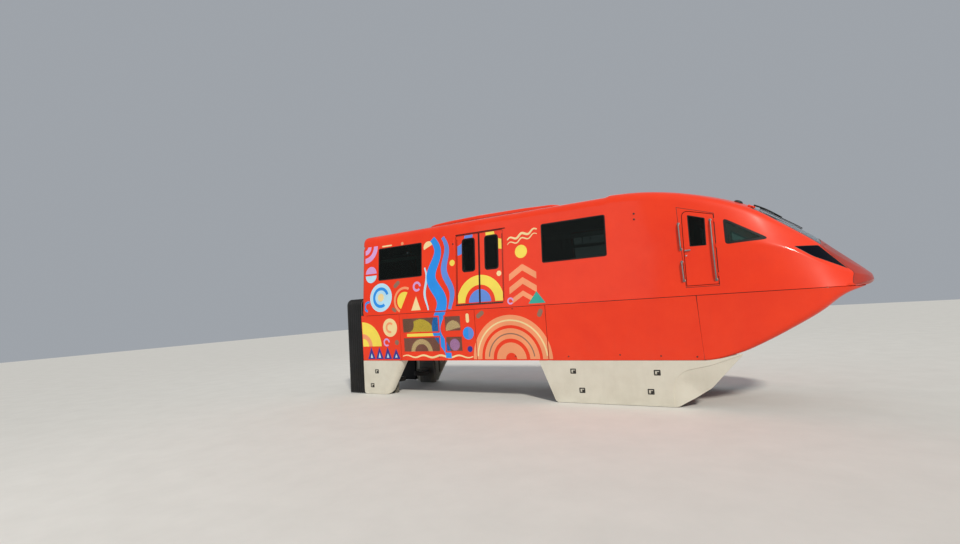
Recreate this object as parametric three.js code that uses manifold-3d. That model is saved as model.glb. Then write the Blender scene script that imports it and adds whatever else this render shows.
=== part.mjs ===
// Straddle-beam monorail car: the leading car of a short train, with its cab at the nose end.
// Units are millimetres. X runs from the rear end wall towards the nose, Y to the car's left, Z up
// from the soles of the bogie legs. The finished group is shifted so that its box is centred on X.
import * as THREE from 'three';
import { mergeVertices } from 'three/addons/utils/BufferGeometryUtils.js';
import Module from 'manifold-3d';

const wasm = await Module();
wasm.setup();

// Driving dimensions of the body
const noseTipX = 12650;
const bellowsReach = 620;
const cabinEndX = 7800;
const lowerSplitX = 9510;
const sillZ = 1000;
const waistZ = 2345;
const cantSplitZ = 4500;
const floorTopZ = 2500;
const floorDepth = 60;
const wallThickness = 80;
const fitGap = 0.3;
const movingGap = 6;
const bodyClearance = 400;
const originX = (noseTipX - bellowsReach) / 2;

// Outer skin sections, by distance from the rear end wall. Halves are half widths.
const sectionColumns = ['x', 'bottomZ', 'bottomHalf', 'waistZ', 'waistHalf', 'ridgeZ', 'ridgeHalf',
  'cantZ', 'cantHalf', 'crownZ'];
const sectionTable = [
  [0, 1000, 1305, 2345, 1330, 3400, 1241, 4790, 1125, 4895],
  [7700, 1000, 1305, 2345, 1330, 3400, 1241, 4790, 1125, 4895],
  [7810, 1000, 1305, 2345, 1330, 3400, 1241, 4822, 1120, 4930],
  [8400, 1000, 1305, 2345, 1330, 3400, 1241, 4785, 1110, 4895],
  [9000, 1000, 1305, 2345, 1330, 3400, 1241, 4690, 1090, 4805],
  [9600, 1000, 1305, 2345, 1330, 3400, 1239, 4530, 1060, 4655],
  [10200, 1130, 1300, 2345, 1325, 3390, 1228, 4310, 1000, 4450],
  [10700, 1350, 1285, 2345, 1310, 3330, 1200, 4060, 930, 4210],
  [11200, 1620, 1245, 2345, 1275, 3170, 1140, 3680, 850, 3850],
  [11700, 1920, 1160, 2345, 1195, 2860, 1050, 3270, 770, 3480],
  [12100, 2220, 980, 2380, 1040, 2640, 900, 2920, 620, 3090],
  [12400, 2325, 700, 2410, 770, 2550, 680, 2700, 450, 2800],
  [12590, 2400, 350, 2450, 400, 2510, 350, 2570, 230, 2610],
  [noseTipX, 2465, 40, 2480, 60, 2495, 50, 2510, 30, 2520],
];
const ridgeRadius = 420;
const cantRadius = 260;

// Openings in the upper side walls: low and high X, low and high Z
const sideWindows = [
  { name: 'rear', x0: 700, x1: 2340, z0: 3385, z1: 4365 },
  { name: 'front', x0: 6070, x1: 7690, z0: 3385, z1: 4365 },
];
const windowCorner = 45;
const glassInset = 14;
const glassThickness = 12;

// Passenger doorway with two leaves that slide into pockets in the wall
const doorway = { x0: 3520, x1: 4980, z0: 2500, z1: 4390 };
const doorOuterInset = 16;
const doorInnerInset = 52;
const pocketLength = 720;
const doorWindow = { margin: 185, width: 420, z0: 3365, z1: 4290 };

// Cab side door, hinged along its front edge
const cabDoor = { x0: 9352, x1: 9960, z0: 2560, zRear: 4195, zFront: 4030, thickness: 40, gap: 14 };
const cabDoorWindow = { x0: 9475, x1: 9790, z0: 3390, zRear: 4075, zFront: 3975 };

const quarterWindow = [[10150, 3875], [10860, 3400], [10155, 3380]];
const headlight = [[11350, 3180], [11730, 3170], [12130, 2680], [11720, 2930]];
const windshieldPlan = { rearX: 10660, frontX: 11850, rearHalf: 850, frontHalf: 700 };

// Bogies and their wheels
const beamTopZ = 1450;
const loadWheel = { radius: 450, width: 250, innerHalf: 50, shaftRadius: 60, shaftHalf: 630 };
const guideWheel = { radius: 260, width: 140, centreHalf: 625, centreZ: 1200 };
const stabiliser = { radius: 250, width: 130, centreHalf: 612, centreZ: 350 };
const pinRadius = 38;
const boreClearance = 2;
const tyreSteps = 24;
const wheelSteps = 16;
const bogies = [
  { name: 'front', pivotX: 7850, halfLength: 1360, axles: [-720, 720], guides: [-1090, 1090], legX: 0 },
  { name: 'rear', pivotX: 720, halfLength: 560, axles: [0], guides: [-400, 400], legX: 0 },
];

const colours = {
  shellRed: 0xd8391f,
  endRed: 0x8f1a12,
  skirtGrey: 0xcfccc2,
  glassDark: 0x14181a,
  bellowsBlack: 0x171717,
  frameGrey: 0x3c3f42,
  tyreBlack: 0x1c1c1c,
  seatBlue: 0x2c4a6b,
  trimGrey: 0x8a8c8e,
  lampBlack: 0x0c0d10,
};

// Solids

function toSolid(geometry) {
  const bare = geometry.clone();
  bare.deleteAttribute('normal');
  bare.deleteAttribute('uv');
  const merged = mergeVertices(bare, 1e-3);
  return new wasm.Manifold(new wasm.Mesh({
    numProp: 3,
    vertProperties: new Float32Array(merged.attributes.position.array),
    triVerts: new Uint32Array(merged.index.array),
  }));
}

function toGeometry(solid) {
  const mesh = solid.getMesh();
  const geometry = new THREE.BufferGeometry();
  geometry.setAttribute('position', new THREE.BufferAttribute(new Float32Array(mesh.vertProperties), 3));
  geometry.setIndex(new THREE.BufferAttribute(new Uint32Array(mesh.triVerts), 1));
  return geometry;
}

function boxSolid(x0, x1, y0, y1, z0, z1) {
  const box = new THREE.BoxGeometry(x1 - x0, y1 - y0, z1 - z0);
  box.translate((x0 + x1) / 2, (y0 + y1) / 2, (z0 + z1) / 2);
  return toSolid(box);
}

function join(solids) {
  return solids.reduce((whole, solid) => whole.add(solid));
}

function cut(solid, tools) {
  return tools.reduce((left, tool) => left.subtract(tool), solid);
}

// A prism along Y whose outline is given in X and Z
function sidePrism(shape, y0, y1) {
  const prism = new THREE.ExtrudeGeometry(shape, { depth: y1 - y0, bevelEnabled: false, curveSegments: 6 });
  prism.rotateX(Math.PI / 2);
  prism.translate(0, y1, 0);
  return toSolid(prism);
}

function polygonShape(points) {
  return new THREE.Shape(points.map(([a, b]) => new THREE.Vector2(a, b)));
}

function roundedRectangle(x0, x1, z0, z1, corner) {
  const shape = new THREE.Shape();
  shape.moveTo(x0 + corner, z0);
  shape.lineTo(x1 - corner, z0);
  shape.absarc(x1 - corner, z0 + corner, corner, -Math.PI / 2, 0);
  shape.lineTo(x1, z1 - corner);
  shape.absarc(x1 - corner, z1 - corner, corner, 0, Math.PI / 2);
  shape.lineTo(x0 + corner, z1);
  shape.absarc(x0 + corner, z1 - corner, corner, Math.PI / 2, Math.PI);
  shape.lineTo(x0, z0 + corner);
  shape.absarc(x0 + corner, z0 + corner, corner, Math.PI, Math.PI * 1.5);
  return shape;
}

// Round a corner between two straight runs with an arc, in a few steps
function roundCorner(before, corner, after, radius, steps) {
  const toBefore = before.clone().sub(corner);
  const toAfter = after.clone().sub(corner);
  const halfAngle = Math.acos(THREE.MathUtils.clamp(
    toBefore.clone().normalize().dot(toAfter.clone().normalize()), -1, 1)) / 2;
  const reach = Math.min(radius / Math.tan(halfAngle), toBefore.length() * 0.48, toAfter.length() * 0.48);
  const start = corner.clone().add(toBefore.setLength(reach));
  const end = corner.clone().add(toAfter.setLength(reach));
  return new THREE.QuadraticBezierCurve(start, corner.clone(), end).getPoints(steps);
}

// The body's outer form

function sectionRing(row, inset) {
  const s = Object.fromEntries(sectionColumns.map((name, i) => [name, row[i]]));
  const bottom = new THREE.Vector2(s.bottomHalf - inset, s.bottomZ);
  const waist = new THREE.Vector2(s.waistHalf - inset, s.waistZ);
  const ridge = new THREE.Vector2(s.ridgeHalf - inset, s.ridgeZ - inset * 0.3);
  const cant = new THREE.Vector2(s.cantHalf - inset * 0.9, s.cantZ - inset * 0.9);
  const crown = new THREE.Vector2(0, s.crownZ - inset);
  const half = [
    bottom,
    waist,
    ...roundCorner(waist, ridge, cant, ridgeRadius, 3),
    ...roundCorner(ridge, cant, crown, cantRadius, 6),
  ];
  const roofStart = half[half.length - 1];
  half.push(new THREE.Vector2(roofStart.x * 0.5, roofStart.y + (crown.y - roofStart.y) * 0.75));
  half.push(crown);
  const mirrored = half.slice(0, -1).reverse().map((p) => new THREE.Vector2(-p.x, p.y));
  return [...half, ...mirrored].map((p) => new THREE.Vector3(s.x, p.x, p.y));
}

// A closed solid through rings of equally many points
function loft(rings) {
  const count = rings[0].length;
  const positions = rings.flat().flatMap((p) => [p.x, p.y, p.z]);
  const index = [];
  for (let i = 0; i + 1 < rings.length; i += 1) {
    for (let j = 0; j < count; j += 1) {
      const a = i * count + j;
      const b = i * count + ((j + 1) % count);
      index.push(a, a + count, b, b, a + count, b + count);
    }
  }
  const flat = rings.map((ring) => ring.map((p) => new THREE.Vector2(p.y, p.z)));
  const lastStart = (rings.length - 1) * count;
  THREE.ShapeUtils.triangulateShape(flat[0], []).forEach(([a, b, c]) => index.push(a, b, c));
  THREE.ShapeUtils.triangulateShape(flat[rings.length - 1], []).forEach(([a, b, c]) => {
    index.push(lastStart + a, lastStart + c, lastStart + b);
  });
  const geometry = new THREE.BufferGeometry();
  geometry.setAttribute('position', new THREE.Float32BufferAttribute(positions, 3));
  geometry.setIndex(index);
  const solid = toSolid(geometry);
  return solid.volume() > 0 ? solid : toSolid(flipped(geometry));
}

function flipped(geometry) {
  const turned = geometry.clone();
  const order = turned.index.array;
  for (let i = 0; i < order.length; i += 3) {
    [order[i + 1], order[i + 2]] = [order[i + 2], order[i + 1]];
  }
  return turned;
}

// The whole body as a solid, pulled in by an inset, with its underside lowered where it is hollow
const bodyCache = new Map();
function bodySolid(inset) {
  if (!bodyCache.has(inset)) {
    const rows = sectionTable.map((row) => [...row]);
    if (inset > 0) {
      rows[0][0] -= bodyClearance;
      rows.forEach((row) => { row[1] -= bodyClearance; });
    }
    const kept = inset > 20 ? rows.slice(0, -2) : rows;
    const last = kept[kept.length - 1];
    last[0] -= inset;
    bodyCache.set(inset, loft(kept.map((row) => sectionRing(row, inset))));
  }
  return bodyCache.get(inset);
}

function skinLayer(outerInset, innerInset) {
  return bodySolid(outerInset).subtract(bodySolid(innerInset));
}

const outerBody = bodySolid(0);
const shellWall = outerBody.subtract(bodySolid(wallThickness));

// Everything on one side of the car, right being negative Y
function sideBox(side, x0, x1, z0, z1) {
  const gap = fitGap / 2;
  const [y0, y1] = side > 0 ? [gap, 2000] : [-2000, -gap];
  return boxSolid(x0, x1, y0, y1, z0, z1);
}

function sideCut(shape, side) {
  return side > 0 ? sidePrism(shape, 900, 1500) : sidePrism(shape, -1500, -900);
}

// Nose cuts reach further in, because the surface there leans towards the middle
function noseCut(points, side) {
  const shape = polygonShape(points);
  return side > 0 ? sidePrism(shape, 250, 1500) : sidePrism(shape, -1500, -250);
}

function grown(points, distance) {
  const cx = points.reduce((sum, p) => sum + p[0], 0) / points.length;
  const cz = points.reduce((sum, p) => sum + p[1], 0) / points.length;
  return points.map(([x, z]) => {
    const reach = Math.hypot(x - cx, z - cz);
    return [x + ((x - cx) * distance) / reach, z + ((z - cz) * distance) / reach];
  });
}

const meshes = [];
function addMesh(name, geometryOrSolid, colour, roughness = 0.5, metalness = 0) {
  const geometry = geometryOrSolid.isBufferGeometry ? geometryOrSolid : toGeometry(geometryOrSolid);
  const material = new THREE.MeshStandardMaterial({ color: colour, roughness, metalness });
  const mesh = new THREE.Mesh(geometry, material);
  mesh.name = name;
  meshes.push(mesh);
  return mesh;
}

const sides = [{ name: 'right', sign: -1 }, { name: 'left', sign: 1 }];

// Side walls, lower panels and roof

function doorPocket(side) {
  const span = sideBox(side, doorway.x0 - pocketLength, doorway.x1 + pocketLength,
    doorway.z0 - 2 * movingGap, doorway.z1 + 2 * movingGap);
  return skinLayer(doorOuterInset - movingGap, doorInnerInset + movingGap).intersect(span);
}

function upperSide(side) {
  const wall = shellWall.intersect(sideBox(side, 0, cabinEndX - fitGap, waistZ, cantSplitZ - fitGap));
  const windows = sideWindows.map((w) => sideCut(roundedRectangle(w.x0, w.x1, w.z0, w.z1, windowCorner), side));
  const opening = boxSolid(doorway.x0 - movingGap, doorway.x1 + movingGap,
    side > 0 ? 900 : -1500, side > 0 ? 1500 : -900, doorway.z0 - movingGap, doorway.z1 + movingGap);
  return cut(wall, [...windows, opening, doorPocket(side)]);
}

function sideGlass(window, side) {
  const shape = roundedRectangle(window.x0 + fitGap, window.x1 - fitGap,
    window.z0 + fitGap, window.z1 - fitGap, windowCorner);
  return skinLayer(glassInset, glassInset + glassThickness).intersect(sideCut(shape, side));
}

function doorLeaf(side, isFront) {
  const middle = (doorway.x0 + doorway.x1) / 2;
  const x0 = isFront ? middle + movingGap / 2 : doorway.x0;
  const x1 = isFront ? doorway.x1 : middle - movingGap / 2;
  const slab = skinLayer(doorOuterInset, doorInnerInset)
    .intersect(sideBox(side, x0, x1, doorway.z0, doorway.z1));
  const windowX = isFront ? x0 + doorWindow.margin - 20 : x0 + doorWindow.margin;
  const shape = roundedRectangle(windowX, windowX + doorWindow.width, doorWindow.z0, doorWindow.z1, 90);
  return slab.subtract(sideCut(shape, side));
}

for (const { name, sign } of sides) {
  addMesh(`upper_side_${name}`, upperSide(sign), colours.shellRed, 0.35);
  const lower = shellWall.intersect(sideBox(sign, 0, lowerSplitX - fitGap, sillZ - 5, waistZ - fitGap));
  addMesh(`lower_side_${name}`, lower, colours.shellRed, 0.35);
  for (const window of sideWindows) {
    addMesh(`window_${window.name}_${name}`, sideGlass(window, sign), colours.glassDark, 0.08);
  }
  addMesh(`door_leaf_rear_${name}`, doorLeaf(sign, false), colours.shellRed, 0.35);
  addMesh(`door_leaf_front_${name}`, doorLeaf(sign, true), colours.shellRed, 0.35);
}
addMesh('roof_panel', shellWall.intersect(boxSolid(0, cabinEndX - fitGap, -2000, 2000, cantSplitZ, 6000)),
  colours.shellRed, 0.4);

// Fairing over the roof-mounted air conditioner, tapered at both ends
const podProfile = [[2250, 4700], [2300, 4850], [2480, 4935], [3000, 4980], [4000, 5005], [5300, 4985],
  [6200, 4935], [6400, 4870], [6450, 4700]];
const podHalf = 690;
const podTopHalf = 560;
function roofPod() {
  const profile = sidePrism(polygonShape(podProfile), -podHalf, podHalf);
  const shoulder = new THREE.Shape([
    new THREE.Vector2(-podHalf, 4700), new THREE.Vector2(podHalf, 4700), new THREE.Vector2(podHalf, 4890),
    new THREE.Vector2(podTopHalf, 5010), new THREE.Vector2(-podTopHalf, 5010), new THREE.Vector2(-podHalf, 4890),
  ]);
  const along = new THREE.ExtrudeGeometry(shoulder, { depth: 4600, bevelEnabled: false });
  along.rotateX(Math.PI / 2);
  along.rotateZ(Math.PI / 2);
  along.translate(2050, 0, 0);
  const roofTop = skinLayer(-fitGap, wallThickness).add(bodySolid(wallThickness / 2));
  return profile.intersect(toSolid(along)).subtract(roofTop);
}
addMesh('roof_pod', roofPod(), colours.shellRed, 0.4);

// End wall between the side walls
const endWallX = 40;
addMesh('end_wall', bodySolid(wallThickness + fitGap).intersect(
  boxSolid(endWallX, endWallX + 60, -2000, 2000, floorTopZ + fitGap, 6000)), colours.endRed, 0.5);

// Nose, cab doors, glazing and lamps

function cabDoorOutline(grow) {
  return polygonShape([
    [cabDoor.x0 - grow, cabDoor.z0 - grow], [cabDoor.x1 + grow, cabDoor.z0 - grow],
    [cabDoor.x1 + grow, cabDoor.zFront + grow], [cabDoor.x0 - grow, cabDoor.zRear + grow],
  ]);
}

function cabDoorLeaf(side) {
  const slab = skinLayer(4, 4 + cabDoor.thickness).intersect(sideCut(cabDoorOutline(0), side));
  const w = cabDoorWindow;
  const pane = polygonShape([[w.x0, w.z0], [w.x1, w.z0], [w.x1, w.zFront], [w.x0, w.zRear]]);
  return slab.subtract(sideCut(pane, side));
}

function windshieldPrism(shrink) {
  const w = windshieldPlan;
  const shape = polygonShape([
    [w.rearX + shrink, -w.rearHalf + shrink], [w.frontX - shrink, -w.frontHalf + shrink],
    [w.frontX - shrink, w.frontHalf - shrink], [w.rearX + shrink, w.rearHalf - shrink],
  ]);
  const prism = new THREE.ExtrudeGeometry(shape, { depth: 1700, bevelEnabled: false });
  prism.translate(0, 0, 3000);
  return toSolid(prism);
}

const noseUpper = shellWall.intersect(boxSolid(cabinEndX, 13000, -2000, 2000, waistZ, 6000));
const noseCuts = sides.flatMap(({ sign }) => [
  sideCut(cabDoorOutline(cabDoor.gap), sign), noseCut(quarterWindow, sign), noseCut(headlight, sign),
]);
addMesh('nose_shell', cut(noseUpper, [...noseCuts, windshieldPrism(0)]), colours.shellRed, 0.3);
addMesh('nose_lower', shellWall.intersect(boxSolid(lowerSplitX, 13000, -2000, 2000, 900, waistZ - fitGap)),
  colours.shellRed, 0.3);
addMesh('windshield', skinLayer(glassInset, glassInset + glassThickness).intersect(windshieldPrism(fitGap)),
  colours.glassDark, 0.05);

for (const { name, sign } of sides) {
  addMesh(`cab_door_${name}`, cabDoorLeaf(sign), colours.shellRed, 0.35);
  addMesh(`quarter_window_${name}`,
    skinLayer(6, 18).intersect(noseCut(grown(quarterWindow, -fitGap * 3), sign)), colours.glassDark, 0.08);
  addMesh(`headlight_${name}`,
    skinLayer(5, 75).intersect(noseCut(grown(headlight, -fitGap * 3), sign)), colours.lampBlack, 0.1);
}

// Skirts over the bogies

const skirtFootZ = 10;
const skirtThickness = 40;
const rearSkirt = [[0, skirtFootZ], [960, skirtFootZ], [1110, 90], [1600, sillZ - fitGap], [0, sillZ - fitGap]];
const frontSkirt = [[5820, sillZ - fitGap], [6180, 90], [6290, skirtFootZ], [8950, skirtFootZ], [9340, 230],
  [9630, 415], [10265, 1115], [10250, 1135], [9850, 1035], [9600, sillZ - 4]];
for (const { name, sign } of sides) {
  for (const [place, outline] of [['rear', rearSkirt], ['front', frontSkirt]]) {
    const outer = 1303;
    const y0 = sign > 0 ? outer - skirtThickness : -outer;
    const plate = sidePrism(polygonShape(outline), y0, y0 + skirtThickness);
    const clearOfBody = outerBody.add(bodySolid(wallThickness));
    addMesh(`skirt_${place}_${name}`, plate.subtract(clearOfBody), colours.skirtGrey, 0.5);
  }
}

// Floor with its side sills

function floorFrame() {
  const x0 = 100;
  const x1 = 11000;
  const plate = bodySolid(wallThickness + fitGap).intersect(
    boxSolid(x0, x1, -2000, 2000, floorTopZ - floorDepth, floorTopZ));
  const sills = sides.map(({ sign }) => boxSolid(x0, 10400, sign > 0 ? 1080 : -1200, sign > 0 ? 1200 : -1080,
    2260, floorTopZ - floorDepth + 10));
  const crossX = [3000, 4500, 5900, 9700];
  const crossBeams = crossX.map((x) => boxSolid(x, x + 160, -1100, 1100, 2280, floorTopZ - floorDepth + 10));
  return join([plate, ...sills, ...crossBeams]);
}
addMesh('floor_frame', floorFrame(), colours.frameGrey, 0.7, 0.3);

// Under-floor equipment case: it bridges the beam and hangs down on both sides of it
const equipment = { x0: 1750, x1: 5550, half: 1060, z0: 1120, z1: 2200, innerHalf: 470, bridgeZ: 1540 };
function equipmentBox() {
  const e = equipment;
  const bridge = boxSolid(e.x0, e.x1, -e.half, e.half, e.bridgeZ, e.z1);
  const cheeks = sides.map(({ sign }) => boxSolid(e.x0, e.x1, sign > 0 ? e.innerHalf : -e.half,
    sign > 0 ? e.half : -e.innerHalf, e.z0, e.bridgeZ + 10));
  const hangers = [e.x0 + 200, e.x1 - 300].map((x) => boxSolid(x, x + 100, -900, 900, e.z1 - 10,
    floorTopZ - floorDepth - fitGap));
  return join([bridge, ...cheeks, ...hangers]);
}
addMesh('equipment_box', equipmentBox(), colours.frameGrey, 0.7, 0.2);

// Passenger benches, cab partition, desk and driver's seat

const benchProfile = [[0, 2500.3], [60, 2500.3], [60, 2880], [430, 2900], [450, 2960], [110, 2960], [80, 3330],
  [0, 3330]];
const benches = [{ name: 'rear', x0: 300, x1: 2700 }, { name: 'front', x0: 5760, x1: 7700 }];
const benchBackHalf = 1140;
for (const { name, sign } of sides) {
  for (const bench of benches) {
    const shape = polygonShape(benchProfile);
    const block = new THREE.ExtrudeGeometry(shape, { depth: bench.x1 - bench.x0, bevelEnabled: false });
    block.rotateX(Math.PI / 2);
    block.rotateZ(sign > 0 ? -Math.PI / 2 : Math.PI / 2);
    block.computeBoundingBox();
    block.translate(bench.x0 - block.boundingBox.min.x, sign * benchBackHalf, 0);
    addMesh(`bench_${bench.name}_${name}`, toSolid(block), colours.seatBlue, 0.8);
  }
}

const partitionX = 8950;
function cabPartition() {
  const plate = bodySolid(wallThickness + fitGap).intersect(
    boxSolid(partitionX, partitionX + 50, -2000, 2000, floorTopZ + fitGap, 6000));
  const doorCut = boxSolid(partitionX - 50, partitionX + 100, -380, 380, floorTopZ, 4350);
  const panes = sides.map(({ sign }) => boxSolid(partitionX - 50, partitionX + 100,
    sign > 0 ? 480 : -1000, sign > 0 ? 1000 : -480, 3350, 4250));
  return cut(plate, [doorCut, ...panes]);
}
addMesh('cab_partition', cabPartition(), colours.trimGrey, 0.7);

const deskProfile = [[10620, 2500.3], [11000, 2500.3], [11350, 2900], [11350, 3080], [11000, 3260],
  [10560, 3200], [10500, 3120], [10620, 3080]];
addMesh('cab_desk', sidePrism(polygonShape(deskProfile), -860, 860), colours.frameGrey, 0.7);

const seatProfile = [[9950, 2500.3], [10150, 2500.3], [10150, 2900], [10350, 2920], [10360, 3010], [9990, 3000],
  [9880, 3640], [9780, 3630], [9860, 2900], [9950, 2890]];
addMesh('driver_seat', sidePrism(polygonShape(seatProfile), -240, 240), colours.frameGrey, 0.8);

// Ribbed curtain round the bogie space between two cars, and the drawbar inside it

const bellowsRibs = 7;
const bellowsWall = 110;
const bellowsFold = 32;
const bellowsTop = 2890;
const bellowsCorner = 200;
function archShape(half, top, corner, wall) {
  const foot = 25;
  const shape = new THREE.Shape();
  shape.moveTo(half, foot);
  shape.lineTo(half, top - corner);
  shape.absarc(half - corner, top - corner, corner, 0, Math.PI / 2);
  shape.lineTo(-half + corner, top);
  shape.absarc(-half + corner, top - corner, corner, Math.PI / 2, Math.PI);
  shape.lineTo(-half, foot);
  shape.lineTo(-half + wall, foot);
  shape.lineTo(-half + wall, top - corner);
  shape.absarc(-half + corner, top - corner, corner - wall, Math.PI, Math.PI / 2, true);
  shape.lineTo(half - corner, top - wall);
  shape.absarc(half - corner, top - corner, corner - wall, Math.PI / 2, 0, true);
  shape.lineTo(half - wall, foot);
  return shape;
}

function archSlab(inset, x0, x1) {
  const shape = archShape(1290 - inset, bellowsTop - inset, bellowsCorner - inset, bellowsWall - inset);
  const slab = new THREE.ExtrudeGeometry(shape, { depth: x1 - x0, bevelEnabled: false, curveSegments: 3 });
  slab.rotateX(Math.PI / 2);
  slab.rotateZ(Math.PI / 2);
  slab.translate(x0, 0, 0);
  return toSolid(slab);
}

function endBellows() {
  const pitch = bellowsReach / bellowsRibs;
  const spine = archSlab(bellowsFold, -bellowsReach + 10, -1);
  const ribs = [];
  for (let i = 0; i < bellowsRibs; i += 1) {
    const x0 = -bellowsReach + i * pitch;
    ribs.push(archSlab(0, x0, x0 + pitch * 0.55));
  }
  return join([spine, ...ribs]);
}
addMesh('end_bellows', endBellows(), colours.bellowsBlack, 0.9);

const drawbarZ = 2140;
function drawbar() {
  const bar = boxSolid(-540, 230, -70, 70, drawbarZ - 60, drawbarZ + 60);
  const face = boxSolid(-600, -540, -130, 130, drawbarZ - 110, drawbarZ + 110);
  const bracket = boxSolid(110, 240, -200, 200, drawbarZ + 50, floorTopZ - floorDepth - fitGap);
  return join([bar, face, bracket]);
}
addMesh('drawbar', drawbar(), colours.frameGrey, 0.6, 0.4);

// Bogies

function cylinderAlong(axis, radius, length, x, y, z, steps = 14) {
  const cylinder = new THREE.CylinderGeometry(radius, radius, length, steps);
  if (axis === 'z') {
    cylinder.rotateX(Math.PI / 2);
  }
  cylinder.translate(x, y, z);
  return toSolid(cylinder);
}

const sideBeam = { y0: 520, y1: 650, z0: 1780, z1: 2020 };
const legPlate = { y0: 900, y1: 1000, halfLength: 280 };
const loadAxleZ = beamTopZ + loadWheel.radius;

function bogieFrame(bogie) {
  const px = bogie.pivotX;
  const parts = [];
  const cuts = [];
  for (const { sign } of sides) {
    const span = (a, b) => (sign > 0 ? [a, b] : [-b, -a]);
    const [beam0, beam1] = span(sideBeam.y0, sideBeam.y1);
    parts.push(boxSolid(px - bogie.halfLength, px + bogie.halfLength, beam0, beam1, sideBeam.z0, sideBeam.z1));
    const [leg0, leg1] = span(legPlate.y0, legPlate.y1);
    const legX0 = px + bogie.legX - legPlate.halfLength;
    const legX1 = px + bogie.legX + legPlate.halfLength;
    parts.push(boxSolid(legX0, legX1, leg0, leg1, 0, sideBeam.z0 + 100));
    const [arm0, arm1] = span(sideBeam.y0 + 20, legPlate.y1);
    parts.push(boxSolid(legX0, legX1, arm0, arm1, sideBeam.z0, sideBeam.z0 + 120));
    const [shelf0, shelf1] = span(stabiliser.centreHalf - 90, legPlate.y1);
    const wheelTop = stabiliser.centreZ + stabiliser.width / 2 + 12;
    parts.push(boxSolid(px + bogie.legX - 110, px + bogie.legX + 110, shelf0, shelf1, wheelTop, wheelTop + 60));
    const pinLength = stabiliser.width + 60;
    parts.push(cylinderAlong('z', pinRadius, pinLength, px + bogie.legX, sign * stabiliser.centreHalf,
      wheelTop + 20 - pinLength / 2));
    for (const guideX of bogie.guides) {
      const top = guideWheel.centreZ + guideWheel.width / 2 + 12;
      parts.push(cylinderAlong('z', 75, sideBeam.z0 + 40 - top, px + guideX, sign * guideWheel.centreHalf,
        (sideBeam.z0 + 40 + top) / 2));
      const length = guideWheel.width + 60;
      parts.push(cylinderAlong('z', pinRadius, length, px + guideX, sign * guideWheel.centreHalf,
        top + 20 - length / 2));
    }
    for (const springX of bogie.axles.length > 1 ? [-230, 230] : [-400, 400]) {
      parts.push(cylinderAlong('z', 150, 420, px + springX, sign * 700, sideBeam.z0 + 60 + 210));
      parts.push(boxSolid(px + springX - 150, px + springX + 150, ...span(sideBeam.y0 + 10, 850),
        sideBeam.z0, sideBeam.z0 + 80));
    }
    for (const axleX of bogie.axles) {
      cuts.push(cylinderAlong('y', loadWheel.shaftRadius + boreClearance, 400, px + axleX, sign * 560, loadAxleZ));
    }
  }
  const crossEnds = bogie.axles.length > 1 ? [-bogie.halfLength, -150, bogie.halfLength - 130]
    : [-bogie.halfLength, bogie.halfLength - 60];
  crossEnds.forEach((x, i) => {
    const width = bogie.axles.length > 1 ? [130, 300, 130][i] : 60;
    parts.push(boxSolid(px + x, px + x + width, -sideBeam.y0 - 20, sideBeam.y0 + 20, sideBeam.z0, sideBeam.z1 - 60));
  });
  return cut(join(parts), cuts);
}

// Two load tyres on one axle, turned about the axle's line
function loadAxle() {
  const { radius, width, innerHalf, shaftRadius, shaftHalf } = loadWheel;
  const shoulder = 30;
  const outerHalf = innerHalf + width;
  const half = [
    [0, shaftHalf], [shaftRadius, shaftHalf], [shaftRadius, outerHalf - 60], [radius * 0.58, outerHalf - 40],
    [radius * 0.64, outerHalf], [radius - shoulder, outerHalf], [radius, outerHalf - shoulder],
    [radius, innerHalf + shoulder], [radius - shoulder, innerHalf], [radius * 0.6, innerHalf], [radius * 0.56, 0],
  ];
  const mirrored = half.slice(0, -1).reverse().map(([r, y]) => [r, -y]);
  const profile = [...half, ...mirrored].map(([r, y]) => new THREE.Vector2(r, y)).reverse();
  return new THREE.LatheGeometry(profile, tyreSteps);
}

// A horizontal wheel with a solid rubber tread round a bored hub
function sideWheel({ radius, width }) {
  const bore = pinRadius + boreClearance;
  const h = width / 2;
  const profile = [
    [bore, -h], [radius * 0.45, -h * 0.6], [radius * 0.74, -h * 0.6], [radius * 0.78, -h], [radius, -h + 16],
    [radius, h - 16], [radius * 0.78, h], [radius * 0.74, h * 0.6], [radius * 0.45, h * 0.6], [bore, h],
    [bore, -h],
  ].map(([r, y]) => new THREE.Vector2(r, y));
  const wheel = new THREE.LatheGeometry(profile, wheelSteps);
  wheel.rotateX(Math.PI / 2);
  return wheel;
}

for (const bogie of bogies) {
  addMesh(`bogie_frame_${bogie.name}`, bogieFrame(bogie), colours.frameGrey, 0.6, 0.4);
  bogie.axles.forEach((offset, i) => {
    const label = bogie.axles.length > 1 ? `_${i + 1}` : '';
    const axle = addMesh(`load_axle_${bogie.name}${label}`, loadAxle(), colours.tyreBlack, 0.85);
    axle.position.set(bogie.pivotX + offset, 0, loadAxleZ);
  });
  for (const { name, sign } of sides) {
    bogie.guides.forEach((offset, i) => {
      const wheel = addMesh(`guide_wheel_${bogie.name}_${name}_${i + 1}`, sideWheel(guideWheel), colours.tyreBlack, 0.85);
      wheel.position.set(bogie.pivotX + offset, sign * guideWheel.centreHalf, guideWheel.centreZ);
    });
    const wheel = addMesh(`stabiliser_${bogie.name}_${name}`, sideWheel(stabiliser), colours.tyreBlack, 0.85);
    wheel.position.set(bogie.pivotX + bogie.legX, sign * stabiliser.centreHalf, stabiliser.centreZ);
  }
}

const car = new THREE.Group();
car.name = 'monorail_car';
car.position.x = -originX;
meshes.forEach((mesh) => car.add(mesh));

export default car;
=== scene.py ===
# Monorail car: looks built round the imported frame.
# Lengths are metres. Tables give X as the distance from the rear end wall, and rearX turns it into
# the frame's own X. The right side, towards the camera, is modelled and mirrored to the left.
import math
from math import cos, pi, sin

import bpy
import numpy as np
from mathutils import Matrix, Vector
from mathutils.geometry import delaunay_2d_cdt


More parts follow.
